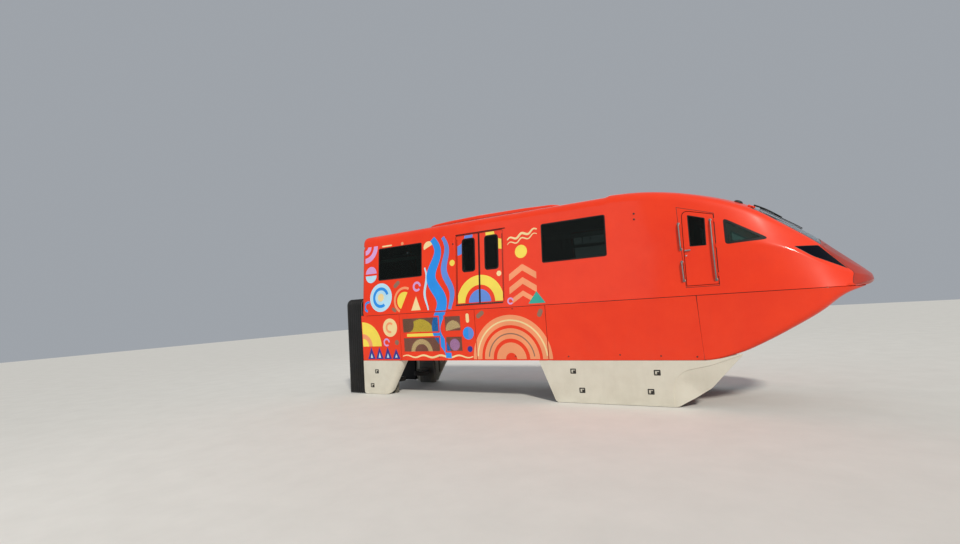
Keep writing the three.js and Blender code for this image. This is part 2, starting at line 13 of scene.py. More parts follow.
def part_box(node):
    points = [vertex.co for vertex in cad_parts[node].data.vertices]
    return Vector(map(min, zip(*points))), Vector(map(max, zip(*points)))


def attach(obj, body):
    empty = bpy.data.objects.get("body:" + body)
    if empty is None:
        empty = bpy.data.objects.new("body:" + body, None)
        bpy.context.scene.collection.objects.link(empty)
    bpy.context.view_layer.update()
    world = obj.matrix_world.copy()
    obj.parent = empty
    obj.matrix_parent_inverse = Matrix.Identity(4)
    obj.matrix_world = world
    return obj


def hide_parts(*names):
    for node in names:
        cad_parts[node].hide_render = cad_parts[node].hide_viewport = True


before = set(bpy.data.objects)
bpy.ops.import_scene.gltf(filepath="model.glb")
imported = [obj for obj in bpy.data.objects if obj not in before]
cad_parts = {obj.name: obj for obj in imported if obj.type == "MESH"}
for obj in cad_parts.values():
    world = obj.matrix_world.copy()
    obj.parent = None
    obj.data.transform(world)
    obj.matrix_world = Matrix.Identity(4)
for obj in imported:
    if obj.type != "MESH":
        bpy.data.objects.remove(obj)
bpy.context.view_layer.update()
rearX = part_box("lower_side_right")[0].x
scene = bpy.context.scene

# camera, light and floor

cameraView = {
    "location": (4.74, -12.38, 2.369),
    "right": (0.86026, 0.5059, -0.06332),
    "up": (0.09202, -0.03191, 0.99525),
    "back": (0.50148, -0.862, -0.07401),
    "lens": 18.1875,
}


def unit(v):
    v = np.asarray(v, float)
    return v / np.maximum(np.linalg.norm(v, axis=-1, keepdims=True), 1e-12)


def addObject(name, data):
    obj = bpy.data.objects.new(name, data)
    scene.collection.objects.link(obj)
    return obj


def placed(right, up, back, place):
    matrix = np.eye(4)
    matrix[:3] = np.stack([right, up, back, place], 1)
    return Matrix(matrix.tolist())


def makeCamera():
    c = cameraView
    data = bpy.data.cameras.new("camera")
    data.lens = c["lens"]
    data.sensor_width = 36.0
    data.clip_end = 300.0
    scene.camera = addObject("camera", data)
    scene.camera.matrix_world = placed(c["right"], c["up"], c["back"], c["location"])


studio = {
    "worldColour": (0.86, 0.92, 1.0),
    "worldStrength": 0.4, "target": (0.0, 0.0, 2.0),
    "sun": {"strength": 2.65, "angle": 6.0, "tilt": 51.0, "turn": 47.0, "colour": (1.0, 0.95, 0.86)},
    "fill": {"power": 150.0, "size": 9.0, "at": (-4.0, -13.0, 6.5)},
    "back": {"power": 250.0, "size": 10.0, "at": (-6.0, 12.0, 9.0)},
}


def aimedArea(name, spec):
    data = bpy.data.lights.new(name, "AREA")
    data.energy = spec["power"]
    data.size = spec["size"]
    away = unit(np.array(spec["at"]) - studio["target"])
    side = unit(np.cross((0, 0, 1), away))
    addObject(name, data).matrix_world = placed(side, np.cross(away, side), away, spec["at"])


def makeStudio():
    world = bpy.data.worlds.new("studio")
    world.use_nodes = True
    background = world.node_tree.nodes["Background"]
    background.inputs["Color"].default_value = (*studio["worldColour"], 1.0)
    background.inputs["Strength"].default_value = studio["worldStrength"]
    scene.world = world
    spec = studio["sun"]
    data = bpy.data.lights.new("sun", "SUN")
    data.energy = spec["strength"]
    data.angle = math.radians(spec["angle"])
    data.color = spec["colour"]
    addObject("sun", data).rotation_euler = (math.radians(spec["tilt"]), 0.0,
            math.radians(spec["turn"]))
    aimedArea("fill", studio["fill"])
    aimedArea("back", studio["back"])


# node groups shared by the materials

def newGroup(name, inputs, outputs):
    group = bpy.data.node_groups.new(name, "ShaderNodeTree")
    for label, value in inputs.items():
        kind = "NodeSocketColor" if isinstance(value, tuple) else "NodeSocketFloat"
        group.interface.new_socket(label, in_out="INPUT", socket_type=kind).default_value = value
    for label in outputs:
        kind = "NodeSocketColor" if label == "Colour" else "NodeSocketFloat"
        group.interface.new_socket(label, in_out="OUTPUT", socket_type=kind)
    return group, group.nodes.new("NodeGroupInput").outputs, group.nodes.new("NodeGroupOutput").inputs


def addNode(tree, kind, feeds=None, **settings):
    # each feed is a number, a colour or another node's output
    node = tree.nodes.new(kind)
    for key, value in settings.items():
        setattr(node, key, value)
    for label, value in (feeds or {}).items():
        if isinstance(value, bpy.types.NodeSocket):
            tree.links.new(value, node.inputs[label])
        else:
            node.inputs[label].default_value = (*value, 1.0) if isinstance(value, tuple) else value
    return node


def mathNode(tree, operation, a, b, clamp=False):
    return addNode(tree, "ShaderNodeMath", {0: a, 1: b}, operation=operation,
            use_clamp=clamp).outputs[0]


def rampNode(tree, value, low, high):
    feeds = {"Value": value, "From Min": low, "From Max": high}
    return addNode(tree, "ShaderNodeMapRange", feeds, clamp=True).outputs["Result"]


def noiseNode(tree, vector, scale, detail=4.0, roughness=0.55):
    feeds = {"Vector": vector, "Scale": scale, "Detail": detail, "Roughness": roughness}
    return addNode(tree, "ShaderNodeTexNoise", feeds).outputs["Fac"]


def mixColour(tree, factor, a, b):
    feeds = {"Factor": factor, "A": a, "B": b}
    return addNode(tree, "ShaderNodeMix", feeds, data_type="RGBA").outputs["Result"]


def objectPlace(tree, stretch=None):
    place = addNode(tree, "ShaderNodeTexCoord").outputs["Object"]
    if stretch is None:
        return place
    mapping = addNode(tree, "ShaderNodeMapping", {"Vector": place})
    mapping.inputs["Scale"].default_value = stretch
    return mapping.outputs["Vector"]


def makeDustGroup():
    # dust on what faces up, and road film that fades out above a height
    group, into, out = newGroup("dustFilm", {"Amount": 0.3, "Scale": 3.0, "Film Height": 1.2}, ["Mask"])
    place = objectPlace(group)
    normal = addNode(group, "ShaderNodeNewGeometry").outputs["Normal"]
    up, height = (addNode(group, "ShaderNodeSeparateXYZ", {0: v}).outputs["Z"] for v in (normal, place))
    patches = rampNode(group, noiseNode(group, place, into["Scale"], 6.0, 0.62), 0.42, 0.72)
    settled = mathNode(group, "MULTIPLY", rampNode(group, up, 0.35, 1.0), 0.8)
    low = mathNode(group, "SUBTRACT", 1.0, rampNode(group, height, 0.0, into["Film Height"]))
    both = mathNode(group, "ADD", mathNode(group, "MAXIMUM", settled,
            mathNode(group, "MULTIPLY", low, 0.75)), 0.12)
    masked = mathNode(group, "MULTIPLY", both, mathNode(group, "ADD", patches, 0.25))
    group.links.new(mathNode(group, "MULTIPLY", masked, into["Amount"], True), out["Mask"])
    return group


def makeStreakGroup():
    # rain streaks that run down a wall
    group, into, out = newGroup("rainStreaks", {"Amount": 0.3, "Width": 9.0}, ["Mask"])
    fine = noiseNode(group, objectPlace(group, (1.0, 1.0, 0.055)), into["Width"], 5.0, 0.7)
    broad = noiseNode(group, objectPlace(group), 1.1, 2.0, 0.5)
    streak = mathNode(group, "MULTIPLY", rampNode(group, fine, 0.5, 0.78),
            rampNode(group, broad, 0.38, 0.66))
    group.links.new(mathNode(group, "MULTIPLY", streak, into["Amount"], True), out["Mask"])
    return group


def makeDriftGroup():
    # two close colours that drift into each other over the surface
    group, into, out = newGroup("colourDrift", {"Colour": (0.5, 0.5, 0.5, 1.0),
            "Second": (0.4, 0.4, 0.4, 1.0), "Scale": 2.0}, ["Colour", "Mask"])
    cloud = rampNode(group, noiseNode(group, objectPlace(group), into["Scale"], 5.0, 0.6), 0.3, 0.7)
    group.links.new(mixColour(group, cloud, into["Colour"], into["Second"]), out["Colour"])
    group.links.new(cloud, out["Mask"])
    return group


def makeGrainGroup():
    # fine relief: noise mixed with pits, as a height
    group, into, out = newGroup("fineGrain", {"Scale": 60.0, "Pits": 0.3}, ["Height"])
    place = objectPlace(group)
    cells = addNode(group, "ShaderNodeTexVoronoi", {"Vector": place, "Scale": into["Scale"]},
            feature="F1")
    pits = mathNode(group, "MULTIPLY", cells.outputs["Distance"], into["Pits"])
    soft = noiseNode(group, place, into["Scale"], 3.0, 0.5)
    group.links.new(mathNode(group, "ADD", soft, pits), out["Height"])
    return group


def makeWearGroup():
    # scuffs where an edge stands proud
    group, into, out = newGroup("edgeWear", {"Amount": 0.5}, ["Mask"])
    proud = rampNode(group, addNode(group, "ShaderNodeNewGeometry").outputs["Pointiness"], 0.53, 0.62)
    broken = rampNode(group, noiseNode(group, objectPlace(group), 26.0, 6.0, 0.7), 0.42, 0.62)
    worn = mathNode(group, "MULTIPLY", proud, broken)
    group.links.new(mathNode(group, "MULTIPLY", worn, into["Amount"], True), out["Mask"])
    return group


def makeWeaveGroup():
    # warp and weft as crossed waves
    group, into, out = newGroup("wovenCloth", {"Scale": 420.0}, ["Height", "Mask"])
    feeds = {"Vector": objectPlace(group), "Scale": into["Scale"], "Distortion": 0.6}
    threads = [addNode(group, "ShaderNodeTexWave", feeds, bands_direction=way).outputs["Fac"]
            for way in ("X", "Z")]
    group.links.new(mathNode(group, "MAXIMUM", *threads), out["Height"])
    group.links.new(mathNode(group, "MULTIPLY", *threads), out["Mask"])
    return group


effects = {
    "dust": makeDustGroup(), "streaks": makeStreakGroup(), "drift": makeDriftGroup(),
    "grain": makeGrainGroup(), "wear": makeWearGroup(), "weave": makeWeaveGroup(),
}


def useEffect(tree, effect, feeds):
    return addNode(tree, "ShaderNodeGroup", feeds, node_tree=effects[effect]).outputs


def linear(hexColour):
    # sRGB hex into linear light
    parts = [int(hexColour[i:i + 2], 16) / 255 for i in (0, 2, 4)]
    return tuple(p / 12.92 if p <= 0.04045 else ((p + 0.055) / 1.055) ** 2.4 for p in parts)


surfaceDefaults = {
    "driftScale": 1.4, "metal": 0.0, "coat": 0.0, "coatRough": 0.05,
    "dust": 0.15, "dustColour": "9c9078", "dustScale": 3.0, "filmHeight": 1.4, "streaks": 0.0,
    "streakColour": "5a4a3c", "wear": 0.0, "wearColour": "8b8780", "grain": (70.0, 0.3), "bump": 0.05,
    "bumpDistance": 0.002, "weave": 0.0, "specular": 0.5, "sheen": 0.0,
}


def newMaterial(name, colour):
    material = bpy.data.materials.new(name)
    material.use_nodes = True
    material.diffuse_color = (*linear(colour), 1.0)
    return material, material.node_tree, material.node_tree.nodes["Principled BSDF"]


def surfaceMaterial(name, colour, second=None, rough=(0.35, 0.45), **changes):
    s = {**surfaceDefaults, **changes}
    material, tree, shader = newMaterial(name, colour)
    base = linear(colour)
    second = linear(second) if second else tuple(c * 0.86 for c in base)
    drift = useEffect(tree, "drift", {"Scale": s["driftScale"], "Colour": base, "Second": second})
    shade = drift["Colour"]
    span = {"Value": drift["Mask"], "To Min": rough[0], "To Max": rough[1]}
    roughness = addNode(tree, "ShaderNodeMapRange", span).outputs["Result"]
    if s["weave"] > 0:
        weave = useEffect(tree, "weave", {"Scale": s["weave"]})
        shade = mixColour(tree, weave["Mask"], tuple(c * 0.55 for c in second), shade)
        height = weave["Height"]
    else:
        height = useEffect(tree, "grain", {"Scale": s["grain"][0], "Pits": s["grain"][1]})["Height"]
    dusting = {"Scale": s["dustScale"], "Film Height": s["filmHeight"]}
    for effect, stain, rougher, more in (("streaks", "streakColour", 0.3, {}),
            ("wear", "wearColour", 0.0, {}), ("dust", "dustColour", 0.5, dusting)):
        if s[effect] > 0:
            mask = useEffect(tree, effect, {"Amount": s[effect], **more})["Mask"]
            shade = mixColour(tree, mask, shade, linear(s[stain]))
            if rougher > 0:
                added = mathNode(tree, "MULTIPLY", mask, rougher)
                roughness = mathNode(tree, "ADD", roughness, added, effect == "dust")
    relief = {"Strength": s["bump"], "Distance": s["bumpDistance"], "Height": height}
    normal = addNode(tree, "ShaderNodeBump", relief).outputs["Normal"]
    for label, output in (("Base Color", shade), ("Roughness", roughness), ("Normal", normal)):
        tree.links.new(output, shader.inputs[label])
    for label, key in (("Metallic", "metal"), ("Specular IOR Level", "specular"),
            ("Coat Weight", "coat"), ("Coat Roughness", "coatRough"), ("Sheen Weight", "sheen")):
        shader.inputs[label].default_value = s[key]
    return material


def glassMaterial(name, tint, transmission, rough, dust=0.25, ior=1.45):
    material, tree, shader = newMaterial(name, tint)
    mask = useEffect(tree, "dust", {"Amount": dust, "Scale": 2.2, "Film Height": 1.0})["Mask"]
    streak = useEffect(tree, "streaks", {"Amount": 0.1, "Width": 6.0})["Mask"]
    both = mathNode(tree, "MAXIMUM", mask, streak)
    ripple = {"Strength": 0.015, "Distance": 0.01, "Height": noiseNode(tree, objectPlace(tree), 1.6,
            2.0, 0.5)}
    tree.links.new(mixColour(tree, both, linear(tint), linear("6b6a62")), shader.inputs["Base Color"])
    wet = mathNode(tree, "ADD", mathNode(tree, "MULTIPLY", both, 0.35), rough)
    tree.links.new(wet, shader.inputs["Roughness"])
    tree.links.new(addNode(tree, "ShaderNodeBump", ripple).outputs["Normal"], shader.inputs["Normal"])
    shader.inputs["Transmission Weight"].default_value = transmission
    shader.inputs["IOR"].default_value = ior
    return material


bodyRed = {"coat": 0.5, "coatRough": 0.12, "rough": (0.38, 0.48), "grain": (16.0, 0.0), "bump": 0.03,
        "bumpDistance": 0.004, "dust": 0.07, "streaks": 0.05, "streakColour": "8a2b1c",
        "filmHeight": 1.5, "dustColour": "b08d78", "specular": 0.18}
mats = {
    "red": surfaceMaterial("redPaint", "ec390f", second="e5320b", **bodyRed),
    # the hood's darker red is a painted reflection of dark surroundings
    "hood": surfaceMaterial("hoodPaint", "b2301d", second="8f2a1c", **{**bodyRed, "coat": 0.5}),
    # the end wall's red, darker than the body's, is painted shade; its streaks and dust are dirt
    "endRed": surfaceMaterial("endPaint", "a51a0f", second="8e150c", rough=(0.4, 0.55), dust=0.3,
        streaks=0.35, streakColour="4d100a", grain=(30.0, 0.2)),
    # a dark red for thin seam and groove lines: painted shade
    "seamShade": surfaceMaterial("seamSealant", "4f140c", second="40100a", rough=(0.5, 0.65), dust=0.2),
    "skirt": surfaceMaterial("skirtPaint", "d8d4c6", second="cfcabb", rough=(0.42, 0.58), dust=0.2,
        dustColour="9a907c", streaks=0.1, streakColour="8c8474", wear=0.4, wearColour="6d675c",
        filmHeight=1.3, grain=(34.0, 0.1)),
    "rubber": surfaceMaterial("blackRubber", "0a0b0c", second="101112", rough=(0.55, 0.72), dust=0.06,
        specular=0.3, grain=(190.0, 0.6), bump=0.25, bumpDistance=0.001),
    "bellows": surfaceMaterial("bellowsRubber", "16171a", second="0f1012", rough=(0.55, 0.78),
        dust=0.16, dustColour="4f4b40", streaks=0.2, streakColour="2a2826", specular=0.3,
        grain=(120.0, 0.7), bump=0.35, bumpDistance=0.0015, filmHeight=1.6),
    "frame": surfaceMaterial("framePaint", "43474a", second="34383b", rough=(0.45, 0.65), dust=0.5,
        streaks=0.3, streakColour="2b2621", wear=0.7, wearColour="80786c", grain=(55.0, 0.4),
        bump=0.15),
    "case": surfaceMaterial("casePaint", "2e3133", second="26292b", rough=(0.5, 0.7), dust=0.45,
        streaks=0.35, wear=0.5, grain=(60.0, 0.3), bump=0.15),
    "steel": surfaceMaterial("brushedSteel", "c8c9c6", second="b3b4b1", rough=(0.22, 0.36), metal=1.0,
        dust=0.1, grain=(260.0, 0.1), bump=0.08, bumpDistance=0.0006),
    "dull": surfaceMaterial("zincSteel", "8e9090", second="7b7c7b", rough=(0.38, 0.58), metal=0.9,
        dust=0.3, wear=0.3, grain=(120.0, 0.4), bump=0.15, bumpDistance=0.001),
    "tyre": surfaceMaterial("tyreRubber", "1b1b1c", second="232324", rough=(0.72, 0.9), dust=0.45,
        dustColour="6a6459", grain=(150.0, 0.8), bump=0.4, bumpDistance=0.0015, filmHeight=3.0),
    "black": surfaceMaterial("blackPlastic", "0c0d0e", second="131415", rough=(0.35, 0.55), dust=0.2,
        grain=(140.0, 0.5), bump=0.2, bumpDistance=0.0008),
    "lining": surfaceMaterial("liningPlastic", "b9bab5", second="adaea8", rough=(0.5, 0.62), dust=0.1,
        grain=(90.0, 0.5), bump=0.12),
    "floorVinyl": surfaceMaterial("floorVinyl", "55585a", second="47494b", rough=(0.5, 0.66), dust=0.3,
        grain=(240.0, 1.0), bump=0.2),
    "seat": surfaceMaterial("seatFabric", "27466e", second="1d375a", rough=(0.82, 0.95), dust=0.1,
        weave=260.0, bump=0.45, bumpDistance=0.0012, sheen=0.35, dustColour="6e6a62"),
    "mesh": surfaceMaterial("grilleMesh", "b87a68", second="a56a58", rough=(0.45, 0.6), metal=0.3,
        dust=0.35, wear=0.4, grain=(200.0, 0.5), bump=0.2),
    "tinted": glassMaterial("tintedGlass", "545e5c", 0.95, 0.02, 0.03, 1.12),
    "cabGlass": glassMaterial("cabGlass", "7f9f97", 0.93, 0.015, 0.06, 1.2),
    # the windshield's pale blue-grey, partly opaque tint is a painted reflection of sky; its dust film
    # is dirt
    "shield": glassMaterial("windshieldGlass", "b4c6d2", 0.78, 0.02, 0.18, 1.5),
    "lampCover": glassMaterial("lampCover", "0b1020", 0.55, 0.03, 0.03, 1.2),
    "lens": glassMaterial("lampLens", "dfe6ea", 0.85, 0.05, 0.1),
}
decalColours = {"cream": "f6dca0", "yellow": "f9e04f", "bright": "0b8ff0", "mid": "5b8be2",
        "light": "b9e4fa", "navy": "14218f", "peach": "f79a68", "lilac": "d9a3dc", "taupe": "8f6a55",
        "teal": "15a596"}
for key, colour in decalColours.items():
    mats[key] = surfaceMaterial(f"film_{key}", colour, coat=0.35, coatRough=0.12, rough=(0.34, 0.46),
            grain=(22.0, 0.1), bump=0.03, dust=0.14, streaks=0.08, dustColour="a8927c")
print("materials", len(mats))


# mesh helpers: a part is (vertices, faces), a piece joins parts into one object

def addPiece(name, parts, material, body="car_body", replaces="", slot=None, bevel=0.0, sharp=0.55):
    # a part is (vertices, faces) or, where it brings its own shading, (vertices, faces, normals)
    parts = parts if isinstance(parts, list) else [parts]
    faces, start = [], 0
    for part in parts:
        faces += [tuple(int(i) + start for i in face) for face in part[1]]
        start += len(part[0])
    mesh = bpy.data.meshes.new(name)
    mesh.from_pydata([tuple(v) for part in parts for v in part[0]], [], faces)
    mesh.validate()
    mesh.polygons.foreach_set("use_smooth", [True] * len(mesh.polygons))
    mesh.materials.append(mats[material])
    obj = addObject(name, mesh)
    if len(parts[0]) > 2:
        mesh.normals_split_custom_set_from_vertices([tuple(n) for part in parts for n in part[2]])
    else:
        mesh.set_sharp_from_angle(angle=sharp)
    if bevel > 0:
        rim = obj.modifiers.new("edges", "BEVEL")
        rim.width = bevel
        rim.segments = 2
        rim.limit_method = "ANGLE"
        rim.angle_limit = 0.6
        rim.harden_normals = True
    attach(obj, body)
    if replaces:
        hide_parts(replaces)
    return obj


def mirrored(part):
    verts, faces, *normals = part
    flip = (1, -1, 1)
    return (np.asarray(verts) * flip, [tuple(reversed(f)) for f in faces], *(n * flip for n in normals))


def addPair(name, parts, material, body="car_body", replaces="", **more):
    # the same piece on the right and, mirrored, on the left; {} in names stands for the side
    parts = parts if isinstance(parts, list) else [parts]
    return [addPiece(name.format(side), here, material, body.format(side), replaces.format(side),
            **more) for side, here in (("right", parts), ("left", [mirrored(p) for p in parts]))]


def boxPart(x0, x1, y0, y1, z0, z1):
    verts = [(x, y, z) for x in (x0, x1) for y in (y0, y1) for z in (z0, z1)]
    faces = [(0, 1, 3, 2), (4, 6, 7, 5), (0, 4, 5, 1), (2, 3, 7, 6), (0, 2, 6, 4), (1, 5, 7, 3)]
    return np.array(verts, float), faces


def alongBody(part):
    # from the distance ahead of the rear end wall to the frame's X
    return np.asarray(part[0], float) + (rearX, 0, 0), part[1]


def frames(path):
    # a moving frame along a path, turned as little as possible
    path = np.asarray(path, float)
    tangents = unit(np.gradient(path, axis=0))
    side = unit(np.cross(tangents[0], (0, 0, 1.0) if abs(tangents[0][2]) < 0.9 else (0, 1.0, 0)))
    sides = []
    for t in tangents:
        side = unit(side - t * np.dot(side, t))
        sides.append(side)
    sides = np.array(sides)
    return path, sides, np.cross(tangents, sides)


def aroundFaces(count, sides, closed=False):
    # quads between rings of points that follow each other
    faces = []
    for i in range(count if closed else count - 1):
        for j in range(sides):
            k, n = (j + 1) % sides, (i + 1) % count
            faces.append((i * sides + j, i * sides + k, n * sides + k, n * sides + j))
    if not closed:
        faces += [tuple(reversed(range(sides))), tuple((count - 1) * sides + j for j in range(sides))]
    return faces


def tubePart(path, radius, sides=10):
    path, a, b = frames(path)
    angles = np.linspace(0, 2 * pi, sides, endpoint=False)[:, None]
    rings = [p + r * (np.cos(angles) * u + np.sin(angles) * w) for p, u, w,
            r in zip(path, a, b, np.broadcast_to(radius, (len(path),)))]
    return outward((np.concatenate(rings), aroundFaces(len(path), sides)))


def outward(part):
    # turn the faces out if the volume comes out negative
    verts, faces = np.asarray(part[0], float), part[1]
    volume = 0.0
    for f in faces:
        for i in range(1, len(f) - 1):
            volume += np.dot(verts[f[0]], np.cross(verts[f[i]], verts[f[i + 1]]))
    return (verts, faces) if volume > 0 else (verts, [tuple(reversed(f)) for f in faces])


def ringTube(points, radius, sides=8):
    # a tube along a closed flat line
    points = np.asarray(points, float)
    out = unit(points - points.mean(0))
    normal = unit(np.cross(out[0], out[4]))
    angles = np.linspace(0, 2 * pi, sides, endpoint=False)[:, None]
    verts = np.concatenate([p + radius * (np.cos(angles) * o + np.sin(angles) * normal) for p,
            o in zip(points, out)])
    return outward((verts, aroundFaces(len(points), sides, True)))


def sweepPart(path, inwards, profile):
    # a closed profile of (X, depth) carried along a path in Y and Z
    verts = [(x + rearX, y + ny * d, z + nz * d) for (y, z), (ny, nz) in zip(path, inwards) for x,
            d in profile]
    return outward((np.array(verts), aroundFaces(len(path), len(profile))))


def lathePart(profile, centre, axis="y", steps=48):
    # profile: (distance along the axis, radius); it ends in discs, or where it started
    profile = np.asarray(profile, float)
    angles = np.linspace(0, 2 * pi, steps, endpoint=False)
    order = {"x": (0, 1, 2), "y": (1, 2, 0), "z": (2, 0, 1)}[axis]
    shut = np.allclose(profile[0], profile[-1])
    rings = profile[:-1] if shut else profile
    verts = np.zeros((len(rings), steps, 3))
    verts[:, :, order[0]] = rings[:, :1]
    verts[:, :, order[1]] = rings[:, 1:] * np.cos(angles)
    verts[:, :, order[2]] = rings[:, 1:] * np.sin(angles)
    return outward((verts.reshape(-1, 3) + np.asarray(centre, float),
            aroundFaces(len(rings), steps, shut)))


def cornerCurve(a, corner, b, steps):
    # a curve from one point to another that leans towards the corner
    t = np.linspace(0, 1, steps + 1)[:, None]
    return (1 - t) ** 2 * a + 2 * t * (1 - t) * corner + t * t * b


def roundedLoop(points, radius, steps=5):
    # the outline with its corners rounded
    points = [np.asarray(p, float) for p in points]
    loop = []
    for i, corner in enumerate(points):
        before, after = points[i - 1] - corner, points[(i + 1) % len(points)] - corner
        reach = radius[i] if isinstance(radius, (list, tuple)) else radius
        reach = min(reach, np.linalg.norm(before) * 0.48, np.linalg.norm(after) * 0.48)
        a = corner + before / np.linalg.norm(before) * reach
        b = corner + after / np.linalg.norm(after) * reach
        loop.extend(cornerCurve(a, corner, b, steps))
    return np.array(loop)


def rectangle(x0, x1, z0, z1):
    return [(x0, z0), (x1, z0), (x1, z1), (x0, z1)]


def ovalLoop(x, z, a, b, turn=0.0, steps=28):
    t = np.linspace(0, 2 * pi, steps, endpoint=False)
    c, s = cos(turn), sin(turn)
    u, v = a * np.cos(t), b * np.sin(t)
    return np.stack([x + u * c - v * s, z + u * s + v * c], 1)


def grown(box, distance, up=None):
    # a rectangle's sides moved out
    up = distance if up is None else up
    return box[0] - distance, box[1] + distance, box[2] - up, box[3] + up


def densify(loop, step):
    loop = np.asarray(loop, float)
    out = []
    for i in range(len(loop)):
        a, b = loop[i], loop[(i + 1) % len(loop)]
        count = max(1, int(math.ceil(np.linalg.norm(b - a) / step)))
        out.extend(a + (b - a) * k / count for k in range(count))
    return np.array(out)


def insideLoop(points, loop):
    x, y = points[:, 0], points[:, 1]
    inside = np.zeros(len(points), bool)
    for (x0, y0), (x1, y1) in zip(loop, np.roll(loop, -1, 0)):
        if y0 == y1:
            continue
        crosses = (y0 > y) != (y1 > y)
        inside ^= crosses & (x < (x1 - x0) * (y - y0) / (y1 - y0) + x0)
    return inside


def growLoop(loop, distance):
    # parallel outline; positive grows it
    loop = np.asarray(loop, float)
    area = 0.5 * np.sum(loop[:, 0] * np.roll(loop[:, 1], -1) - np.roll(loop[:, 0], -1) * loop[:, 1])
    a, b = unit(loop - np.roll(loop, 1, 0)), unit(np.roll(loop, -1, 0) - loop)
    n = unit(np.stack([a[:, 1] + b[:, 1], -a[:, 0] - b[:, 0]], 1))
    lean = np.maximum(0.6, n[:, 0] * b[:, 1] - n[:, 1] * b[:, 0])
    return loop + n / lean[:, None] * distance * (1 if area > 0 else -1)


def insetLoop(points, reach, distance, steps=5):
    # a rounded outline moved in by a distance, its corners kept parallel
    points = [np.asarray(p, float) for p in points]
    turn = sum(a[0] * b[1] - b[0] * a[1] for a, b in zip(points, points[1:] + points[:1]))
    reaches = reach if isinstance(reach, list) else [reach] * len(points)
    moved, left = [], []
    for i, corner in enumerate(points):
        u, v = unit(points[i - 1] - corner), unit(points[(i + 1) % len(points)] - corner)
        half = math.acos(np.clip(np.dot(u, v), -1.0, 1.0)) / 2
        way = unit(u + v) if half < 1.55 else np.array((u[1], -u[0])) * (-1 if turn < 0 else 1)
        bends = 1.0 if (v[0] * u[1] - v[1] * u[0]) * turn > 0 or half >= 1.55 else -1.0
        moved.append(corner + way * bends * distance / sin(half))
        left.append(max(reaches[i] - bends * distance / math.tan(half), 0.004))
    return roundedLoop(moved, left, steps)


def panelPart(surface, outline, holes=(), thickness=0.04, edge=0.004, step=(0.25, 0.08), loopStep=0.12,
        rimSteps=2, fields=((), ())):
    # a panel on a curved surface, triangulated in two coordinates and then laid on it
    # fields: loops that the panel stays inside, and loops that it stays out of
    loops = [densify(outline, loopStep)] + [densify(h, loopStep) for h in holes]

    def within(spots):
        keep = insideLoop(spots, loops[0])
        for h in loops[1:]:
            keep &= ~insideLoop(spots, h)
        return keep

    low, high = loops[0].min(0), loops[0].max(0)
    counts = [max(2, int(math.ceil((high[i] - low[i]) / step[i]))) for i in (0, 1)]
    gx, gv = np.meshgrid(np.linspace(low[0], high[0], counts[0] + 1)[1:-1],
            np.linspace(low[1], high[1], counts[1] + 1)[1:-1], indexing="ij")
    grid = np.stack([gx.ravel(), gv.ravel()], 1)
    grid = grid[within(grid)]
    near = np.zeros(len(grid), bool)
    for p in np.concatenate(loops):
        near |= np.sum(((grid - p) / (np.array(step) * 0.32)) ** 2, 1) < 1.0
    points, edges = [], []
    for loop in [*loops, *fields[0], *fields[1]]:
        start = len(points)
        points.extend(tuple(p) for p in loop)
        edges.extend((start + i, start + (i + 1) % len(loop)) for i in range(len(loop)))
    points.extend(tuple(p) for p in grid[~near])
    flat, _, tris, _, _, _ = delaunay_2d_cdt(points, edges, [], 0, 1e-7)
    flat = np.array([tuple(p) for p in flat])
    tris = np.array(tris)
    centres = flat[tris].mean(1)
    kept = within(centres)
    if fields[0]:
        kept &= np.any([insideLoop(centres, loop) for loop in fields[0]], axis=0)
    for loop in fields[1]:
        kept &= ~insideLoop(centres, loop)
    tris = tris[kept]
    if not len(tris):
        return None
    a, b, c = flat[tris[:, 0]], flat[tris[:, 1]], flat[tris[:, 2]]
    area = (b[:, 0] - a[:, 0]) * (c[:, 1] - a[:, 1]) - (b[:, 1] - a[:, 1]) * (c[:, 0] - a[:, 0])
    tris, area = tris[np.abs(area) > 1e-10], area[np.abs(area) > 1e-10]
    tris[area < 0] = tris[area < 0][:, ::-1]
    used = np.unique(tris)
    index = -np.ones(len(flat), int)
    index[used] = np.arange(len(used))
    flat, tris = flat[used], index[tris]
    count = len(flat)
    seen = {(t[i], t[(i + 1) % 3]): True for t in tris for i in range(3)}
    rim = {a: b for a, b in seen if (b, a) not in seen}
    before = {b: a for a, b in rim.items()}
    order = list(rim)
    here = flat[order]
    p, q = unit(here - flat[[before[v] for v in order]]), unit(flat[[rim[v] for v in order]] - here)
    side = unit(np.stack([p[:, 1] + q[:, 1], -p[:, 0] - q[:, 0]], 1))
    side /= np.maximum(0.7, side[:, 0] * q[:, 1] - side[:, 1] * q[:, 0])[:, None]
    base, normals = surface(flat)
    away = base[order] - surface(here - side * 0.002)[0]
    n = normals[order]
    away = unit(away - n * np.sum(away * n, 1)[:, None])
    deep = (thickness(flat) if callable(thickness) else np.full(count, thickness))[:, None]
    radius = edge(here) if callable(edge) else np.full(len(order), edge)
    size = np.linalg.norm(side, axis=1)[:, None]
    radius = np.minimum(radius, deep[order, 0] * 0.9)[:, None] * size
    verts, shading = [base], [normals]
    for k in range(1, rimSteps + 1):
        turn = pi / 2 * k / rimSteps
        verts.append(base[order] + away * radius * sin(turn) - n * radius / size * (1 - cos(turn)))
        shading.append(n * cos(turn) + away * sin(turn))
    verts += [base[order] + away * radius - n * deep[order], base - normals * deep]
    shading += [away, -normals]
    start = count + (rimSteps + 1) * len(order)
    faces = [tuple(t) for t in tris] + [tuple(start + i for i in reversed(t)) for t in tris]
    rings = [{v: v for v in order}]
    rings += [{v: count + k * len(order) + i for i, v in enumerate(order)} for k in range(rimSteps + 1)]
    rings.append({v: start + v for v in order})
    for upper, lower in zip(rings, rings[1:]):
        faces += [(upper[w], upper[v], lower[v], lower[w]) for v, w in rim.items()]
    return np.concatenate(verts), faces, np.concatenate(shading)


# the body's outer form

